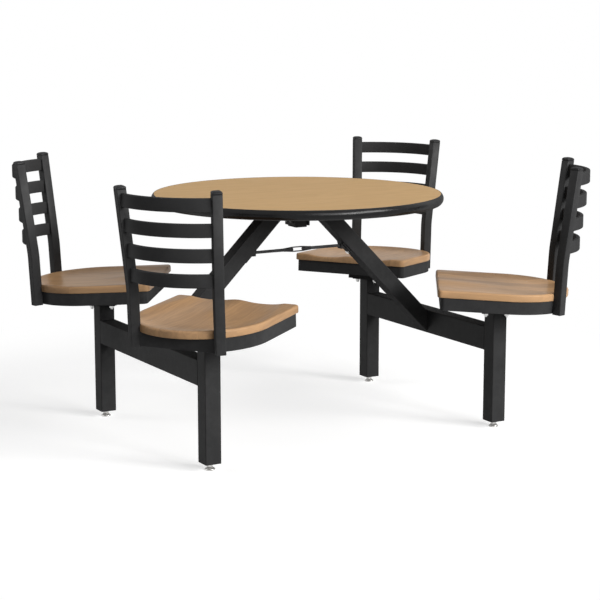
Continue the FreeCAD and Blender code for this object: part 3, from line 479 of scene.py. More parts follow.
def shadeSmooth(mesh, sharpDegrees):
    mesh.polygons.foreach_set("use_smooth", [True] * len(mesh.polygons))
    mesh.set_sharp_from_angle(angle=math.radians(sharpDegrees))


def markRims(mesh):  # each point's sharpest corner, from 0 on a flat or slow curve to 1 at an edge
    work = bmesh.new()
    work.from_mesh(mesh)
    sharpest = []
    for vert in work.verts:
        angles = [edge.calc_face_angle(0.0) for edge in vert.link_edges]
        sharpest.append(min(1.0, max(angles, default=0.0) / math.radians(fullRimDegrees)))
    work.free()
    rim = mesh.attributes.get("rim") or mesh.attributes.new("rim", "FLOAT", "POINT")
    rim.data.foreach_set("value", sharpest)


def keepPiece(obj, body, slotName, replaced=(), material=None, sharpDegrees=60):
    mesh = obj.data
    mesh.materials.clear()
    mesh.materials.append(material or slotFinish[slotName])
    if sharpDegrees:
        shadeSmooth(mesh, sharpDegrees)
    markRims(mesh)
    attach(obj, body)
    if replaced:
        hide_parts(*replaced)


def middleOf(node):
    low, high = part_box(node)
    return (low + high) / 2


seatFrame = {"pivotHeight": 398.6, "tiltDegrees": 2.9}


def seatMatrix(corner):  # from the seat's own frame, u forward, v to its left and w up, to the whole table's
    leg = middleOf(f"{corner}_leg")
    moved = Matrix.Translation((leg.x, leg.y, seatFrame["pivotHeight"] * mm))
    turned = Matrix.Rotation(math.radians(chairTurns[corner]), 4, "Z")
    tilted = Matrix.Rotation(-math.radians(seatFrame["tiltDegrees"]), 4, "Y")
    return moved @ turned @ tilted


print("back posts and caps")
postShape = {
    "size": 28.6, "corner": 2.4, "cornerSteps": 4, "turnDegrees": 39.5, "along": -183.66, "aside": 134.08,
    "foot": -3.0, "kink": 158.0, "bendHalf": 14.0, "bendSteps": 4, "top": 452.8, "leanDegrees": 4.0,
    "splayDegrees": 2.95, "endRound": 0.8, "cornerLeast": 0.4,
}
capShape = {  # each ring of the dome: its share of the full size and how far it lies below the dome
    "height": 10.3, "drop": 2.6, "power": 3, "gap": 0.7, "plugInset": 1.4, "lip": 0.5, "dome": (
        (1.0, 2.0), (0.975, 1.0), (0.93, 0.35), (0.88, 0), (0.76, 0), (0.6, 0), (0.42, 0), (0.22, 0),
        (0.08, 0),
    ),
}


def postCentre(height, side):  # straight up to the bend, then leaning back and out
    half = postShape["bendHalf"]
    rise = height - postShape["kink"]
    if rise < half:
        rise = max(0.0, rise + half) ** 2 / (4 * half)
    back = rise * math.tan(math.radians(postShape["leanDegrees"]))
    out = rise * math.tan(math.radians(postShape["splayDegrees"]))
    return Vector((postShape["along"] - back, side * (postShape["aside"] + out), height))


def postTurn(side):
    return Matrix.Rotation(math.radians(-side * postShape["turnDegrees"]), 2)


def postRing(height, side, inset=0.0, lift=None, shrink=1.0):
    shape = postShape
    corner = max(shape["cornerLeast"], shape["corner"] - inset)
    centre = postCentre(height, side).xy
    ring = []
    for x, y in roundedSquare(shape["size"] / 2 - inset, corner, shape["cornerSteps"]):
        flat = (x * shrink, y * shrink)
        ring.append((*(centre + postTurn(side) @ Vector(flat)), lift(*flat) if lift else height))
    return ring


def domeHeight(x, y):  # nearly flat in the middle, falling off towards the sides
    half = postShape["size"] / 2
    fall = sum(abs(value / half) ** capShape["power"] for value in (x, y))
    return postShape["top"] - capShape["drop"] * fall


def makePosts(corner):
    posts, caps = bmesh.new(), bmesh.new()
    shape, cap = postShape, capShape
    foot, soft, steps = shape["foot"], shape["endRound"], shape["bendSteps"]
    capLow = shape["top"] - cap["height"]
    postTop, plug = capLow - cap["gap"], cap["plugInset"]
    bend = [shape["kink"] + shape["bendHalf"] * step / steps for step in range(-steps, steps + 1)]
    for side in (1, -1):
        rings = [postRing(height, side) for height in (foot + soft, *bend, postTop - soft)]
        rings = [postRing(foot, side, soft), *rings, postRing(postTop, side, soft)]
        appendWork(posts, joinRings(rings), seatMatrix(corner))
        rings = [postRing(height, side, plug) for height in (capLow - 2 * cap["gap"], capLow)]
        rings += [postRing(capLow, side, cap["lip"]), postRing(capLow + cap["lip"], side)]
        for shrink, below in cap["dome"]:
            rings.append(postRing(capLow, side, 0.0, lambda x, y: domeHeight(x, y) - below, shrink))
        appendWork(caps, joinRings(rings), seatMatrix(corner))
    body = f"{corner}_chair"
    keepPiece(finishWork(f"{corner}_backPosts", posts), body, "black_steel", [f"{corner}_back_posts"])
    keepPiece(finishWork(f"{corner}_postCaps", caps), body, "edge_moulding", material=capPlastic)


print("geometry trees")
facets = {  # how finely each round form is cut
    "slatCorner": 4, "coil": 14, "ridge": 4, "cone": 36, "ball": 24, "ballRings": 14, "shank": 24, "bead": 7,
}


def growTree(name, takes):
    return newTree(name, {"Geometry": None, **takes}, {"Geometry": "Geometry"}, "GeometryNodeTree")


def growWith(tree, obj, **values):
    modifier = obj.modifiers.new("grow", "NODES")
    modifier.node_group = tree
    for item in tree.interface.items_tree:
        if item.in_out == "INPUT" and item.name in values:
            modifier[item.identifier] = values[item.name]
    makePlain(obj)


def endTree(tree, geometry, material, gives):  # instances made real, then the finish
    real = geometryOut(tree, "RealizeInstances", {"Geometry": geometry})
    smooth = geometryOut(tree, "SetShadeSmooth", {"Geometry": real})
    done = geometryOut(tree, "SetMaterial", {"Geometry": smooth, "Material": material})
    tree.links.new(done, gives["Geometry"])


def sweepAlong(tree, line, outline):
    wires = {"Curve": line, "Profile Curve": outline, "Fill Caps": True}
    return geometryOut(tree, "CurveToMesh", wires)


def makeSlatTree():  # flat tubes with rounded corners along each line of the given mesh
    tree, takes, gives = growTree("slatsAlongLines", {
        "Thickness": 0.0127, "Height": 0.0381, "Corner": 0.002, "Finish": blackSteel,
    })
    line = geometryOut(tree, "MeshToCurve", {"Mesh": takes["Geometry"]})
    upright = geometryOut(tree, "SetCurveNormal", {"Curve": line}, mode="Z_UP")
    sizes = {"Width": takes["Thickness"], "Height": takes["Height"]}
    outline = geometryOut(tree, "CurvePrimitiveQuadrilateral", sizes)
    wires = {"Curve": outline, "Radius": takes["Corner"], "Limit Radius": True, "Count": facets["slatCorner"]}
    rounded = geometryOut(tree, "FilletCurve", wires, mode="POLY")
    endTree(tree, sweepAlong(tree, upright, rounded), takes["Finish"], gives)
    return tree


def vectorOf(tree, x, y, z):
    return shaderOut(tree, "CombineXYZ", {"X": x, "Y": y, "Z": z})


def lowered(tree, geometry, drop):
    place = vectorOf(tree, 0.0, 0.0, times(tree, drop, -1.0))
    return geometryOut(tree, "Transform", {"Geometry": geometry, "Translation": place})


def joined(tree, parts):
    node = tree.nodes.new("GeometryNodeJoinGeometry")
    for part in reversed(parts):
        tree.links.new(part, node.inputs[0])
    return node.outputs[0]


def barBelow(tree, sides, radius, length):  # a bar that hangs down from the origin
    wires = {"Vertices": sides, "Radius": radius, "Depth": length}
    bar = geometryOut(tree, "MeshCylinder", wires)
    return lowered(tree, bar, times(tree, length, 0.5))


ridgeShare = 0.38  # the thread's ridge against its pitch


def threadBelow(tree, radius, pitch, length):  # a ridge that winds down from the origin
    coil = geometryOut(tree, "CurveSpiral", {
        "Resolution": facets["coil"], "Rotations": doMath(tree, "DIVIDE", length, pitch),
        "Start Radius": radius, "End Radius": radius, "Height": length,
    })
    wires = {"Resolution": facets["ridge"], "Radius": times(tree, pitch, ridgeShare)}
    ridge = geometryOut(tree, "CurvePrimitiveCircle", wires)
    return lowered(tree, sweepAlong(tree, coil, ridge), length)


def meshBoolean(tree, operation, tools, body=None):
    node = addNode(tree, "GeometryNodeMeshBoolean", operation=operation, solver="EXACT")
    if body is not None:
        tree.links.new(body, node.inputs["Mesh 1"])
    for tool in tools:
        tree.links.new(tool, node.inputs["Mesh 2"])
    return node.outputs["Mesh"]


headShape = {  # shares of the head's radius and height
    "coneTop": 0.70, "coneFoot": 2.4, "coneHeight": 1.5, "coneDrop": 1.3, "crossLong": 1.1,
    "crossWide": 0.24, "crossDeep": 1.1, "crossRise": 0.95, "shankStart": 0.8,
}


def hexBelow(tree, radius, height):  # a hexagon under the origin, its upper corners turned down to a cone
    cone = geometryOut(tree, "MeshCone", {
        "Vertices": facets["cone"], "Radius Top": times(tree, radius, headShape["coneTop"]),
        "Radius Bottom": times(tree, radius, headShape["coneFoot"]),
        "Depth": times(tree, height, headShape["coneHeight"]),
    })
    cone = lowered(tree, cone, times(tree, height, headShape["coneDrop"]))
    return meshBoolean(tree, "INTERSECT", [cone, barBelow(tree, 6, radius, height)])


def domeBelow(tree, radius, height):  # a round head with a cross cut into it
    sizes = {"Segments": facets["ball"], "Rings": facets["ballRings"], "Radius": radius}
    ball = geometryOut(tree, "MeshUVSphere", sizes)
    scale = vectorOf(tree, 1.0, 1.0, doMath(tree, "DIVIDE", height, radius))
    flat = geometryOut(tree, "Transform", {"Geometry": ball, "Scale": scale})
    along = times(tree, radius, headShape["crossLong"])
    across = times(tree, radius, headShape["crossWide"])
    blocks = []
    for x, y in ((along, across), (across, along)):
        size = vectorOf(tree, x, y, times(tree, height, headShape["crossDeep"]))
        block = geometryOut(tree, "MeshCube", {"Size": size})
        blocks.append(lowered(tree, block, times(tree, height, -headShape["crossRise"])))
    return lowered(tree, meshBoolean(tree, "DIFFERENCE", blocks, flat), height)


def setOnPoints(tree, takes, item):  # one item at each point, its top along the point's aim
    aim = geometryOut(tree, "InputNamedAttribute", {"Name": "aim"}, data_type="FLOAT_VECTOR")
    turn = addNode(tree, "FunctionNodeAlignRotationToVector", {"Vector": aim}, axis="Z").outputs[0]
    wires = {"Points": takes["Geometry"], "Instance": item, "Rotation": turn}
    return geometryOut(tree, "InstanceOnPoints", wires)


def chooseOne(tree, flag, off, on):
    wires = {"Switch": flag, "False": off, "True": on}
    return geometryOut(tree, "Switch", wires, input_type="GEOMETRY")


def makeBoltTree():
    tree, takes, gives = growTree("boltsOnPoints", {
        "Head radius": 0.0075, "Head height": 0.0053, "Shank radius": 0.004, "Length": 0.03, "Thread": 0.01,
        "Pitch": 0.00125, "Nut place": 0.02, "Nut height": 0.0065, "Nut": True, "Round head": False,
        "Finish": zincPlate,
    })
    radius, height, length = takes["Head radius"], takes["Head height"], takes["Length"]
    heads = hexBelow(tree, radius, height), domeBelow(tree, radius, height)
    head = chooseOne(tree, takes["Round head"], *heads)
    under = times(tree, height, headShape["shankStart"])
    bare = doMath(tree, "SUBTRACT", length, under)
    bar = barBelow(tree, facets["shank"], takes["Shank radius"], bare)
    thread = threadBelow(tree, takes["Shank radius"], takes["Pitch"], takes["Thread"])
    thread = lowered(tree, thread, doMath(tree, "SUBTRACT", length, takes["Thread"]))
    nut = lowered(tree, hexBelow(tree, radius, takes["Nut height"]), takes["Nut place"])
    nut = chooseOne(tree, takes["Nut"], joined(tree, []), nut)
    bolt = joined(tree, [head, lowered(tree, bar, under), thread, nut])
    endTree(tree, setOnPoints(tree, takes, bolt), takes["Finish"], gives)
    return tree


def makeThreadTree():
    tree, takes, gives = growTree("threadsOnPoints", {
        "Radius": 0.0047, "Pitch": 0.0015, "Length": 0.03, "Finish": zincPlate,
    })
    thread = threadBelow(tree, takes["Radius"], takes["Pitch"], takes["Length"])
    endTree(tree, setOnPoints(tree, takes, thread), takes["Finish"], gives)
    return tree


def makeBeadTree():  # a rippled weld bead along each line
    tree, takes, gives = growTree("beadsAlongLines", {
        "Radius": 0.0016, "Step": 0.0011, "Ripple": 0.22, "Ripple length": 5.5, "Finish": blackSteel,
    })
    line = geometryOut(tree, "MeshToCurve", {"Mesh": takes["Geometry"]})
    fine = geometryOut(tree, "ResampleCurve", {"Curve": line, "Length": takes["Step"]}, mode="LENGTH")
    turns = times(tree, geometryOut(tree, "InputIndex"), 2 * math.pi)
    phase = doMath(tree, "DIVIDE", turns, takes["Ripple length"])
    thick = doMath(tree, "ADD", times(tree, doMath(tree, "SINE", phase), takes["Ripple"]), 1.0)
    waved = geometryOut(tree, "SetCurveRadius", {"Curve": fine, "Radius": thick})
    sizes = {"Resolution": facets["bead"], "Radius": takes["Radius"]}
    ring = geometryOut(tree, "CurvePrimitiveCircle", sizes)
    endTree(tree, sweepAlong(tree, waved, ring), takes["Finish"], gives)
    return tree


slatTree = makeSlatTree()
boltTree = makeBoltTree()
threadTree = makeThreadTree()
beadTree = makeBeadTree()

print("back rails")
railShape = {
    "count": 4, "first": 203.0, "pitch": 70.0, "bow": 51.2, "height": 38.1, "thickness": 12.7, "corner": 2.6,
    "points": 29, "bite": 3.0,
}


def railLine(corner, index):  # a level arc from post to post, bowed backwards
    height = railShape["first"] + railShape["pitch"] * index
    post = postCentre(height, 1)
    turn = math.radians(postShape["turnDegrees"])
    half = postShape["size"] / 2
    chord = post.y - half * math.cos(turn)
    depth = railShape["bow"] - half * math.sin(turn)
    radius = (chord ** 2 + depth ** 2) / (2 * depth)
    reach = math.degrees(math.asin((chord + railShape["bite"]) / radius))
    level = Matrix.Rotation(math.radians(seatFrame["tiltDegrees"]), 4, "Y")
    matrix = seatMatrix(corner) @ Matrix.Translation((post.x * mm, 0, height * mm)) @ level
    middle, steps = radius - railShape["bow"], railShape["points"] - 1
    arc = arcPoints(middle, 0, radius, 180 + reach, -2 * reach, steps, 1)
    return [matrix @ Vector((x * mm, y * mm, 0)) for x, y in arc]


def wireMesh(name, points, edges=()):
    mesh = bpy.data.meshes.new(name)
    mesh.from_pydata([tuple(point) for point in points], edges, [])
    return objectFrom(name, mesh)


def linesMesh(name, lines):
    points, edges = [], []
    for line in lines:
        start = len(points)
        points += line
        edges += [(start + index, start + index + 1) for index in range(len(line) - 1)]
    return wireMesh(name, points, edges)


def makeRails(corner):
    shape = railShape
    obj = linesMesh(f"{corner}_backRails", [railLine(corner, index) for index in range(shape["count"])])
    growWith(
        slatTree, obj, Thickness=shape["thickness"] * mm, Height=shape["height"] * mm,
        Corner=shape["corner"] * mm, Finish=blackSteel,
    )
    keepPiece(obj, f"{corner}_chair", "black_steel", [f"{corner}_back_rails"])


print("seats")
seatShape = {
    "half": 200.0, "front": 188.5, "arcPlace": 21.0, "corner": 14.0, "cornerLeast": 0.5, "cornerSteps": 7,
    "low": 39.0, "high": 61.5, "topRound": 6.0, "topSteps": 8, "lowRound": 2.5, "lowSteps": 3,
    "underInsets": (120.0, 30.0), "rearRim": 13.0, "frontRim": 48.0, "slopeWidth": 72.0,
    "rearDepth": 10.4, "frontDepth": 6.6, "depthReach": 60.0, "slopePower": 2.4, "ridgeWidth": 42.0,
    "ridgeStart": -40.0, "pointGap": 5.0, "ringGap": 6.5, "flatMiddle": 12.0, "notchClear": 1.0,
    "notchRound": 1.0, "notchSteps": 3, "notchOver": 10.0, "staveJump": 0.58, "staveStart": 0.021,
    "grainJump": 1.7,
}


def seatOutline(inset):  # straight front and sides, small front corners and a half round at the back
    shape = seatShape
    half, front, back = shape["half"] - inset, shape["front"] - inset, -shape["arcPlace"]
    corner = max(shape["cornerLeast"], shape["corner"] - inset)
    sideSteps = round((shape["front"] - shape["corner"] + shape["arcPlace"]) / shape["pointGap"])
    frontSteps = round(2 * (shape["half"] - shape["corner"]) / shape["pointGap"])
    backSteps = round(math.pi * shape["half"] / shape["pointGap"])
    start, inner = front - corner, half - corner
    return [
        *runPoints((back, -half), (start, -half), sideSteps),
        *arcPoints(start, -inner, corner, -90, 90, shape["cornerSteps"]),
        *runPoints((front, -inner), (front, inner), frontSteps),
        *arcPoints(start, inner, corner, 0, 90, shape["cornerSteps"]),
        *runPoints((start, half), (back, half), sideSteps),
        *arcPoints(back, 0, half, 90, 180, backSteps),
    ]


def between(shape, first, second, share):
    return shape[first] + (shape[second] - shape[first]) * share


def easeBetween(value, low, high):
    share = max(0.0, min(1.0, (value - low) / (high - low)))
    return share * share * (3 - 2 * share)


def saddleHeight(x, y):  # a bowl behind that parts into two troughs beside a ridge at the front
    shape = seatShape
    arcX, front = -shape["arcPlace"], shape["front"]
    inside = shape["half"] - (math.hypot(x - arcX, y) if x < arcX else abs(y))
    rim = between(shape, "rearRim", "frontRim", easeBetween(x, arcX, front))
    depth = between(shape, "rearDepth", "frontDepth", easeBetween(x, arcX - shape["depthReach"], front))
    climb = max(0.0, min(1.0, (inside - rim) / shape["slopeWidth"]))
    hollow = depth * (1 - (1 - climb) ** shape["slopePower"])
    ridge = math.exp(-((y / shape["ridgeWidth"]) ** 2)) * easeBetween(x, shape["ridgeStart"], front)
    return shape["high"] - hollow * (1 - ridge)


def makeSeat(corner, number):
    shape = seatShape
    low, lowRound, topRound = shape["low"], shape["lowRound"], shape["topRound"]
    rings = [[(x, y, low) for x, y in seatOutline(inset)] for inset in shape["underInsets"]]
    for inset, level in arcPoints(lowRound, low + lowRound, lowRound, -90, -90, shape["lowSteps"], 1):
        rings.append([(x, y, level) for x, y in seatOutline(inset)])
    for inset, drop in arcPoints(topRound, topRound, topRound, 180, 90, shape["topSteps"], 1):
        rings.append([(x, y, saddleHeight(x, y) - drop) for x, y in seatOutline(inset)])
    inset = topRound
    while inset < shape["half"] - shape["flatMiddle"]:
        inset += shape["ringGap"]
        share = (shape["half"] - inset) / (shape["half"] - topRound)
        ring = [(x * share, y * share) for x, y in seatOutline(topRound)]
        rings.append([(x, y, saddleHeight(x, y)) for x, y in ring])
    work = joinRings(rings)
    bmesh.ops.triangulate(work, faces=[face for face in work.faces if len(face.verts) > 4])
    blank = finishWork(f"{corner}_woodSeat", work)
    cutters = bmesh.new()
    wide = postShape["size"] / 2 + shape["notchClear"]
    square = roundedSquare(wide, shape["notchRound"], shape["notchSteps"])
    levels = (low - shape["notchOver"], shape["high"] + shape["notchOver"])
    for side in (1, -1):
        centre = Vector((postShape["along"], side * postShape["aside"]))
        outline = [centre + postTurn(side) @ Vector(point) for point in square]
        appendWork(cutters, joinRings([[(*point, level) for point in outline] for level in levels]))
    cutAway(blank, finishWork("seatNotch", cutters))
    grain = blank.data.attributes.new("grainPlace", "FLOAT_VECTOR", "POINT")
    # each seat was glued up from other staves
    laneShift = shape["staveJump"] * number + shape["staveStart"]
    for vert, item in zip(blank.data.vertices, grain.data):
        item.vector = (vert.co.x + shape["grainJump"] * number, vert.co.y + laneShift, vert.co.z)
    blank.data.transform(seatMatrix(corner))
    keepPiece(blank, f"{corner}_chair", "seat_wood", [f"{corner}_seat"], sharpDegrees=55)


for number, corner in enumerate(chairTurns, start=1):
    makePosts(corner)
    makeRails(corner)
    makeSeat(corner, number)

print("table edge")
edgeShape = {
    "inner": 450.1, "bulge": 7.1, "steps": 288, "lip": 0.25, "lipIn": 1.6, "lipSoft": 0.02, "lipFold": 0.5,
    "crestShare": 0.4, "profileSteps": 22,
}


def makeMoulding():
    shape = edgeShape
    low, high = (corner.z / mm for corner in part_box("edge_moulding"))
    half = (high - low) / 2
    radius = (half ** 2 + shape["bulge"] ** 2) / (2 * shape["bulge"])
    reach = math.degrees(math.asin(half / radius))
    centre = shape["inner"] + shape["bulge"] - radius
    profile = arcPoints(centre, (high + low) / 2, radius, -reach, 2 * reach, shape["profileSteps"], 1)
    inside = shape["inner"] - shape["lipIn"]
    crest = shape["inner"] - shape["lipIn"] * shape["crestShare"]
    profile += [
        (crest, high + shape["lip"]), (inside, high + shape["lipSoft"]), (inside, high - shape["lipFold"]),
        (inside, low - shape["lipSoft"]), (crest, low - shape["lip"]),
    ]
    rings = [[(x * radius, y * radius, z) for radius, z in profile] for x, y in circle(1, shape["steps"])]
    obj = finishWork("bullnoseEdge", joinRings(rings, endless=True))
    keepPiece(obj, tableBody, "edge_moulding", ["edge_moulding"])


makeMoulding()

print("turnbuckle")
buckleShape = {
    "half": 49.0, "high": 8.5, "endHigh": 5.6, "wide": 3.7, "endWide": 5.8, "waist": (18.0, 40.0),
    "tip": (10.0, 53.0), "slotHalf": 29.0, "slotHigh": 5.2, "bore": 4.85, "stations": 37, "ringPoints": 28,
    "squareness": 0.62, "endSquareness": 1.0, "cutPoints": 24, "cutReach": 20.0,
}


def makeBuckle():
    shape = buckleShape
    rings = []
    for index in range(shape["stations"]):
        x = shape["half"] * (2 * index / (shape["stations"] - 1) - 1)
        towardsEnd = easeBetween(abs(x), *shape["waist"])
        wide = between(shape, "wide", "endWide", towardsEnd)
        tall = between(shape, "high", "endHigh", easeBetween(abs(x), *shape["tip"]))
        power = between(shape, "squareness", "endSquareness", towardsEnd)
        ring = []
        for point in circle(1, shape["ringPoints"]):  # a soft oblong across X
            y, z = (math.copysign(abs(value) ** power, value) for value in point)
            ring.append((x, wide * y, tall * z))
        rings.append(ring)
    obj = finishWork("turnbuckleBody", joinRings(rings))
    cuts, reach = shape["cutPoints"], shape["cutReach"]
    ends = shape["slotHalf"] - shape["slotHigh"]
    slot = arcPoints(0, 0, shape["slotHigh"], 180 / cuts, 360, cuts)
    slot = [[(x + math.copysign(ends, x), y, z) for x, z in slot] for y in (-reach, reach)]
    cutAway(obj, finishWork("buckleSlot", joinRings(slot)))
    reach = 2 * shape["half"]
    bore = [[(x, y, z) for y, z in circle(shape["bore"], cuts)] for x in (-reach, reach)]
    cutAway(obj, finishWork("buckleBore", joinRings(bore)))
    obj.data.transform(Matrix.Translation(middleOf("turnbuckle_body")))
    keepPiece(obj, "turnbuckle", "black_rod", ["turnbuckle_body"], sharpDegrees=50)


makeBuckle()

print("levelling glides")
glidePoints = 48
glideProfile = (  # height and radius up the pad's outside, from its foot
    (0.0, 14.6), (0.35, 15.3), (1.2, 15.75), (3.6, 15.75), (4.5, 15.35), (4.95, 14.6), (5.3, 13.9),
    (6.2, 12.4), (7.4, 11.2), (8.5, 10.4), (8.85, 10.0), (9.0, 9.4),
)
for corner in chairTurns:
    rings = [[(x, y, height) for x, y in circle(radius, glidePoints)] for height, radius in glideProfile]
    obj = finishWork(f"{corner}_glideFoot", joinRings(rings))
    obj.data.transform(Matrix.Translation((*middleOf(f"{corner}_leg").xy, 0)))
    keepPiece(obj, f"{corner}_foot", "nickel", [f"{corner}_glide_pad"], sharpDegrees=50)

print("bolts, screws and threads")


def pointsMesh(name, places, aims):
    obj = wireMesh(name, places)
    stored = obj.data.attributes.new("aim", "FLOAT_VECTOR", "POINT")
    for item, aim in zip(stored.data, aims):
        item.vector = aim
    return obj


def looseParts(node):  # the points of each separate solid in a node
    work = mergedWork(node)
    left, parts = set(work.verts), []
    while left:
        waiting, part = [left.pop()], []
        while waiting:
            vert = waiting.pop()
            part.append(vert.co.copy())
            near = left.intersection(edge.other_vert(vert) for edge in vert.link_edges)
            left -= near
            waiting += near
        parts.append(part)
    work.free()
    return sorted(parts, key=lambda part: tuple(round(value, 4) for value in sum(part, Vector()) / len(part)))


def topAndLength(points, aim):  # where a part's axis meets its top, and how long the part is
    aim = Vector(aim).normalized()
    side = aim.orthogonal().normalized()
    other = aim.cross(side)
    spans = [[point.dot(axis) for point in points] for axis in (aim, side, other)]
    middles = [(min(span) + max(span)) / 2 for span in spans[1:]]
    return aim * max(spans[0]) + side * middles[0] + other * middles[1], max(spans[0]) - min(spans[0])


boltTail = 5.0 * mm  # what the nut leaves free
hexBolt = {"Head radius": 7.5 * mm, "Head height": 5.3 * mm, "Shank radius": 4.0 * mm, "Nut height": 6.5 * mm}
topScrew = {
    "Head radius": 5.0 * mm, "Head height": 3.0 * mm, "Shank radius": 2.2 * mm, "Thread": 16.0 * mm,
    "Pitch": 1.8 * mm, "Nut": False, "Round head": True,
}


def makeBolts(name, node, aimOf, sizes, material=None):
    parts = looseParts(node)
    aims = [aimOf(part) for part in parts]
    tops, lengths = zip(*[topAndLength(part, aim) for part, aim in zip(parts, aims)])
    obj = pointsMesh(name, tops, aims)
    sizes = {"Length": lengths[0], "Nut place": lengths[0] - boltTail - hexBolt["Nut height"], **sizes}
    growWith(boltTree, obj, Finish=material or slotFinish[nodeSlot[node]], **sizes)
    keepPiece(obj, tableBody, nodeSlot[node], [node], material, sharpDegrees=30)


makeBolts("swivelBolts", "swivel_bolts", lambda part: (0, 0, 1), {**hexBolt, "Thread": 11.0 * mm})
makeBolts("centreBolts", "centre_bolts", lambda part: (1, 0, 0), {**hexBolt, "Thread": 11.0 * mm}, blackZinc)
makeBolts(
    "anchorBolts", "anchor_bolts", lambda part: (-math.copysign(1, part[0].x), 0, -1),
    {**hexBolt, "Thread": 9.0 * mm, "Nut": False},
)
makeBolts("topScrews", "top_screws", lambda part: (0, 0, -1), topScrew)

threadShape = {
    "rod": {"radius": 4.55, "pitch": 1.6, "reach": 62.0},
    "stem": {"radius": 4.6, "pitch": 1.5, "spare": 1.0, "foot": 16.0},
}


def makeThread(name, body, slotName, top, aim, look, length):
    obj = pointsMesh(name, [top], [aim])
    sizes = {"Radius": look["radius"] * mm, "Pitch": look["pitch"] * mm, "Length": length}
    growWith(threadTree, obj, Finish=slotFinish[slotName], **sizes)
    keepPiece(obj, body, slotName, sharpDegrees=30)


def makeThreads():
    rod, stem = threadShape["rod"], threadShape["stem"]
    for side, facing in (("left", 1), ("right", -1)):
        low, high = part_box(f"{side}_tie_rod")
        end = (high if facing > 0 else low).x
        top = (end - facing * rod["pitch"] * mm, *middleOf(f"{side}_tie_rod").yz)
        makeThread(f"{side}_rodThread", tableBody, "black_rod", top, (facing, 0, 0), rod, rod["reach"] * mm)
    spare = stem["spare"] * mm
    for corner in chairTurns:
        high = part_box(f"{corner}_glide_stem")[1].z
        top = (*middleOf(f"{corner}_leg").xy, high - spare)
        length = high - stem["foot"] * mm - 2 * spare
        makeThread(f"{corner}_stemThread", f"{corner}_stem", "nickel", top, (0, 0, 1), stem, length)


makeThreads()

print("weld beads")
weldShape = {
    "radius": 1.5, "step": 1.1, "ripple": 0.22, "endGap": 5.0, "legHalf": 25.4, "legCorner": 3.2,
    "cornerSteps": 3,
}


def loopAt(points, height):
    ring = [Vector((x, y, height)) for x, y in points]
    return ring + [ring[0]]


def crossingBox(node, height, reach=0.5 * mm):  # a node's least and greatest x and y at one height
    near = [vert.co for vert in nodes[node].data.vertices if abs(vert.co.z - height) < reach]
    return [limit(co[axis] for co in near) for axis in (0, 1) for limit in (min, max)]


def makeWelds():
    shape = weldShape
    lines = []
    end = shape["endGap"] * mm
    for side in ("left", "right"):
        low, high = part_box(f"{side}_beam")
        for y in (low.y, high.y):
            for z in (low.z, high.z):
                lines.append([Vector((low.x + end, y, z)), Vector((high.x - end, y, z))])
        x0, x1, y0, y1 = crossingBox(f"{side}_brace", high.z)
        for y in (y0, y1):
            lines.append([Vector((x0, y, high.z)), Vector((x1, y, high.z))])
        inner = x1 if side == "left" else x0
        lines.append([Vector((inner, y0, high.z)), Vector((inner, y1, high.z))])
        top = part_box(f"{side}_brace")[1].z
        x0, x1, y0, y1 = crossingBox(f"{side}_brace", top)
        lines.append(loopAt([(x0, y0), (x1, y0), (x1, y1), (x0, y1)], top))
    square = roundedSquare(shape["legHalf"], shape["legCorner"], shape["cornerSteps"])
    for corner in chairTurns:
        leg = middleOf(f"{corner}_leg")
        outline = [(leg.x + x * mm, leg.y + y * mm) for x, y in square]
        lines.append(loopAt(outline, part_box(f"{corner}_leg")[1].z))
    obj = linesMesh("frameWelds", lines)
    growWith(
        beadTree, obj, Radius=shape["radius"] * mm, Step=shape["step"] * mm, Ripple=shape["ripple"],
        Finish=blackSteel,
    )
    keepPiece(obj, tableBody, "black_steel")


makeWelds()

print("steel, softened at its edges")
softSteel = {"segments": 2, "insertSegments": 1, "edgeDegrees": 28, "normalWeight": 100, "flatDegrees": 0.3}
softWidths = {
    "leg": 1.0, "beam": 1.0, "brace": 1.0, "top_plate": 0.8, "centre_spacer": 1.2, "seat_frame": 0.9,
    "swivel_head": 1.0, "leg_plates": 1.0, "swivel_bases": 0.8, "rod_anchors": 0.8, "tie_rod": 0.6,
    "seat_screws": 0.3, "spindle_nuts": 0.6, "glide_stem": 0.4, "foot_inserts": 0.3,
}


def softened(node, width):  # one closed mesh again, with whole flat faces and rounded edges
    work = mergedWork(node)
    flat = math.radians(softSteel["flatDegrees"])
    bmesh.ops.dissolve_limit(work, angle_limit=flat, verts=work.verts, edges=work.edges)
    bmesh.ops.recalc_face_normals(work, faces=work.faces)
    obj = finishWork(f"{node}_soft", work)
    attributes = obj.data.attributes
    if "custom_normal" in attributes:
        attributes.remove(attributes["custom_normal"])
    shadeSmooth(obj.data, sharpDegrees=180)
    bevel = obj.modifiers.new("softEdges", "BEVEL")
    bevel.width = width * mm
    bevel.segments = softSteel["insertSegments" if node == "foot_inserts" else "segments"]
    bevel.limit_method = "ANGLE"
    bevel.angle_limit = math.radians(softSteel["edgeDegrees"])
    bevel.use_clamp_overlap = True
    bevel.miter_outer = "MITER_ARC"
    obj.modifiers.new("evenNormals", "WEIGHTED_NORMAL").weight = softSteel["normalWeight"]
    makePlain(obj)
    keepPiece(obj, nodeBody[node], nodeSlot[node], [node], sharpDegrees=None)


for node in sorted(nodes):
    if nodes[node].hide_render:
        continue
    width = next((value for ending, value in softWidths.items() if node.endswith(ending)), None)
    if width:
        softened(node, width)
    else:
        nodes[node].material_slots[0].material = slotFinish[nodeSlot[node]]

print("floor, lamps and world")
studio = {
    "floorRadius": 60.0, "floorSides": 96, "floorWhite": 0.20, "floorGlow": 0.60, "floorShown": 0.62,
    "worldFill": 0.19, "fadeStart": 0.95, "fadeEnd": 1.9,
}


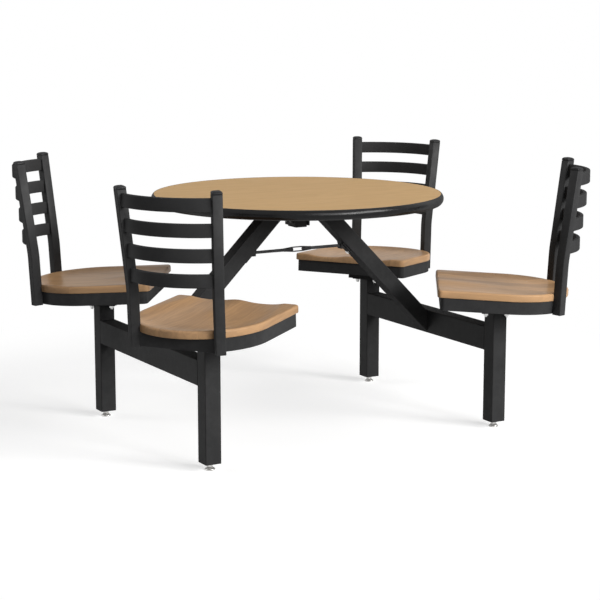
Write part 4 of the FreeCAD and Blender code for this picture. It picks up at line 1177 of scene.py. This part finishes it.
def seenRays(tree):  # 1 for what the camera, mirrors and glass see
    rays = tree.nodes.new("ShaderNodeLightPath").outputs
    seen = doMath(tree, "MAXIMUM", rays["Is Camera Ray"], rays["Is Glossy Ray"])
    return doMath(tree, "MAXIMUM", seen, rays["Is Transmission Ray"])


def mixShaders(tree, share, first, second):
    return shaderOut(tree, "MixShader", {0: share, 1: first, 2: second})


def plainShader(tree, kind, level, strength=None):
    wires = {"Color": (level, level, level, 1)}
    if strength is not None:
        wires["Strength"] = strength
    return shaderOut(tree, kind, wires)


def makeFloor():
    work = bmesh.new()
    sizes = {"segments": studio["floorSides"], "radius": studio["floorRadius"]}
    bmesh.ops.create_circle(work, cap_ends=True, **sizes)
    floor = finishWork("paleFloor", work)
    material, tree, _ = newMaterial("paleFloor")
    tree.nodes.clear()
    plain = plainShader(tree, "BsdfDiffuse", studio["floorWhite"])
    shaded = plainShader(tree, "BsdfDiffuse", studio["floorShown"])
    glow = plainShader(tree, "Emission", 1.0, studio["floorGlow"])
    near = shaderOut(tree, "AddShader", {0: shaded, 1: glow})
    far = plainShader(tree, "Emission", 1.0, 1.0)
    reach = shaderOut(tree, "VectorMath", {0: objectPlace(tree)}, "Value", operation="LENGTH")
    fade = remap(tree, reach, studio["fadeStart"], studio["fadeEnd"])
    mixed = mixShaders(tree, seenRays(tree), plain, mixShaders(tree, fade, near, far))
    addNode(tree, "ShaderNodeOutputMaterial", {"Surface": mixed})
    floor.data.materials.append(material)


def makeWorld():
    world = bpy.data.worlds.new("paleRoom")
    bpy.context.scene.world = world
    world.use_nodes = True
    tree = world.node_tree
    tree.nodes.clear()
    fill = plainShader(tree, "Background", 1.0, studio["worldFill"])
    white = plainShader(tree, "Background", 1.0, 1.0)
    addNode(tree, "ShaderNodeOutputWorld", {"Surface": mixShaders(tree, seenRays(tree), fill, white)})


makeFloor()
makeWorld()
lamps = {
    "keyBox": {
        "place": (6.0, -9.2, 5.6), "aim": 0.5, "size": (3.8, 4.0), "watts": 880, "colour": (1, 0.995, 0.98),
    },
    "frontBox": {"place": (-1.1, -9.0, 5.2), "aim": 0.5, "size": (3.6, 2.4), "watts": 100},
    "frontStrip": {"place": (-0.5, -9.0, 2.3), "aim": 0.6, "size": (3.3, 1.6), "watts": 120},
    "sideSpot": {"place": (1.9, -8.8, 3.2), "aim": 0.6, "size": (2.1, 2.4), "watts": 400},
    "rearBox": {"place": (-7.8, 6.4, 5.6), "aim": 0.5, "size": (4.5, 4.5), "watts": 170},
    "topBox": {"place": (0.9, -0.3, 4.2), "aim": 0.4, "size": (2.6, 2.6), "watts": 18},
}
for name, look in lamps.items():
    lamp = bpy.data.lights.new(name, "AREA")
    lamp.shape = "RECTANGLE"
    lamp.size, lamp.size_y = look["size"]
    lamp.energy = look["watts"]
    lamp.color = look.get("colour", (1, 1, 1))
    obj = objectFrom(name, lamp)
    obj.location = look["place"]
    aim = Vector((0, 0, look["aim"])) - Vector(look["place"])
    obj.rotation_euler = aim.to_track_quat("-Z", "Y").to_euler()
    obj.visible_camera = False
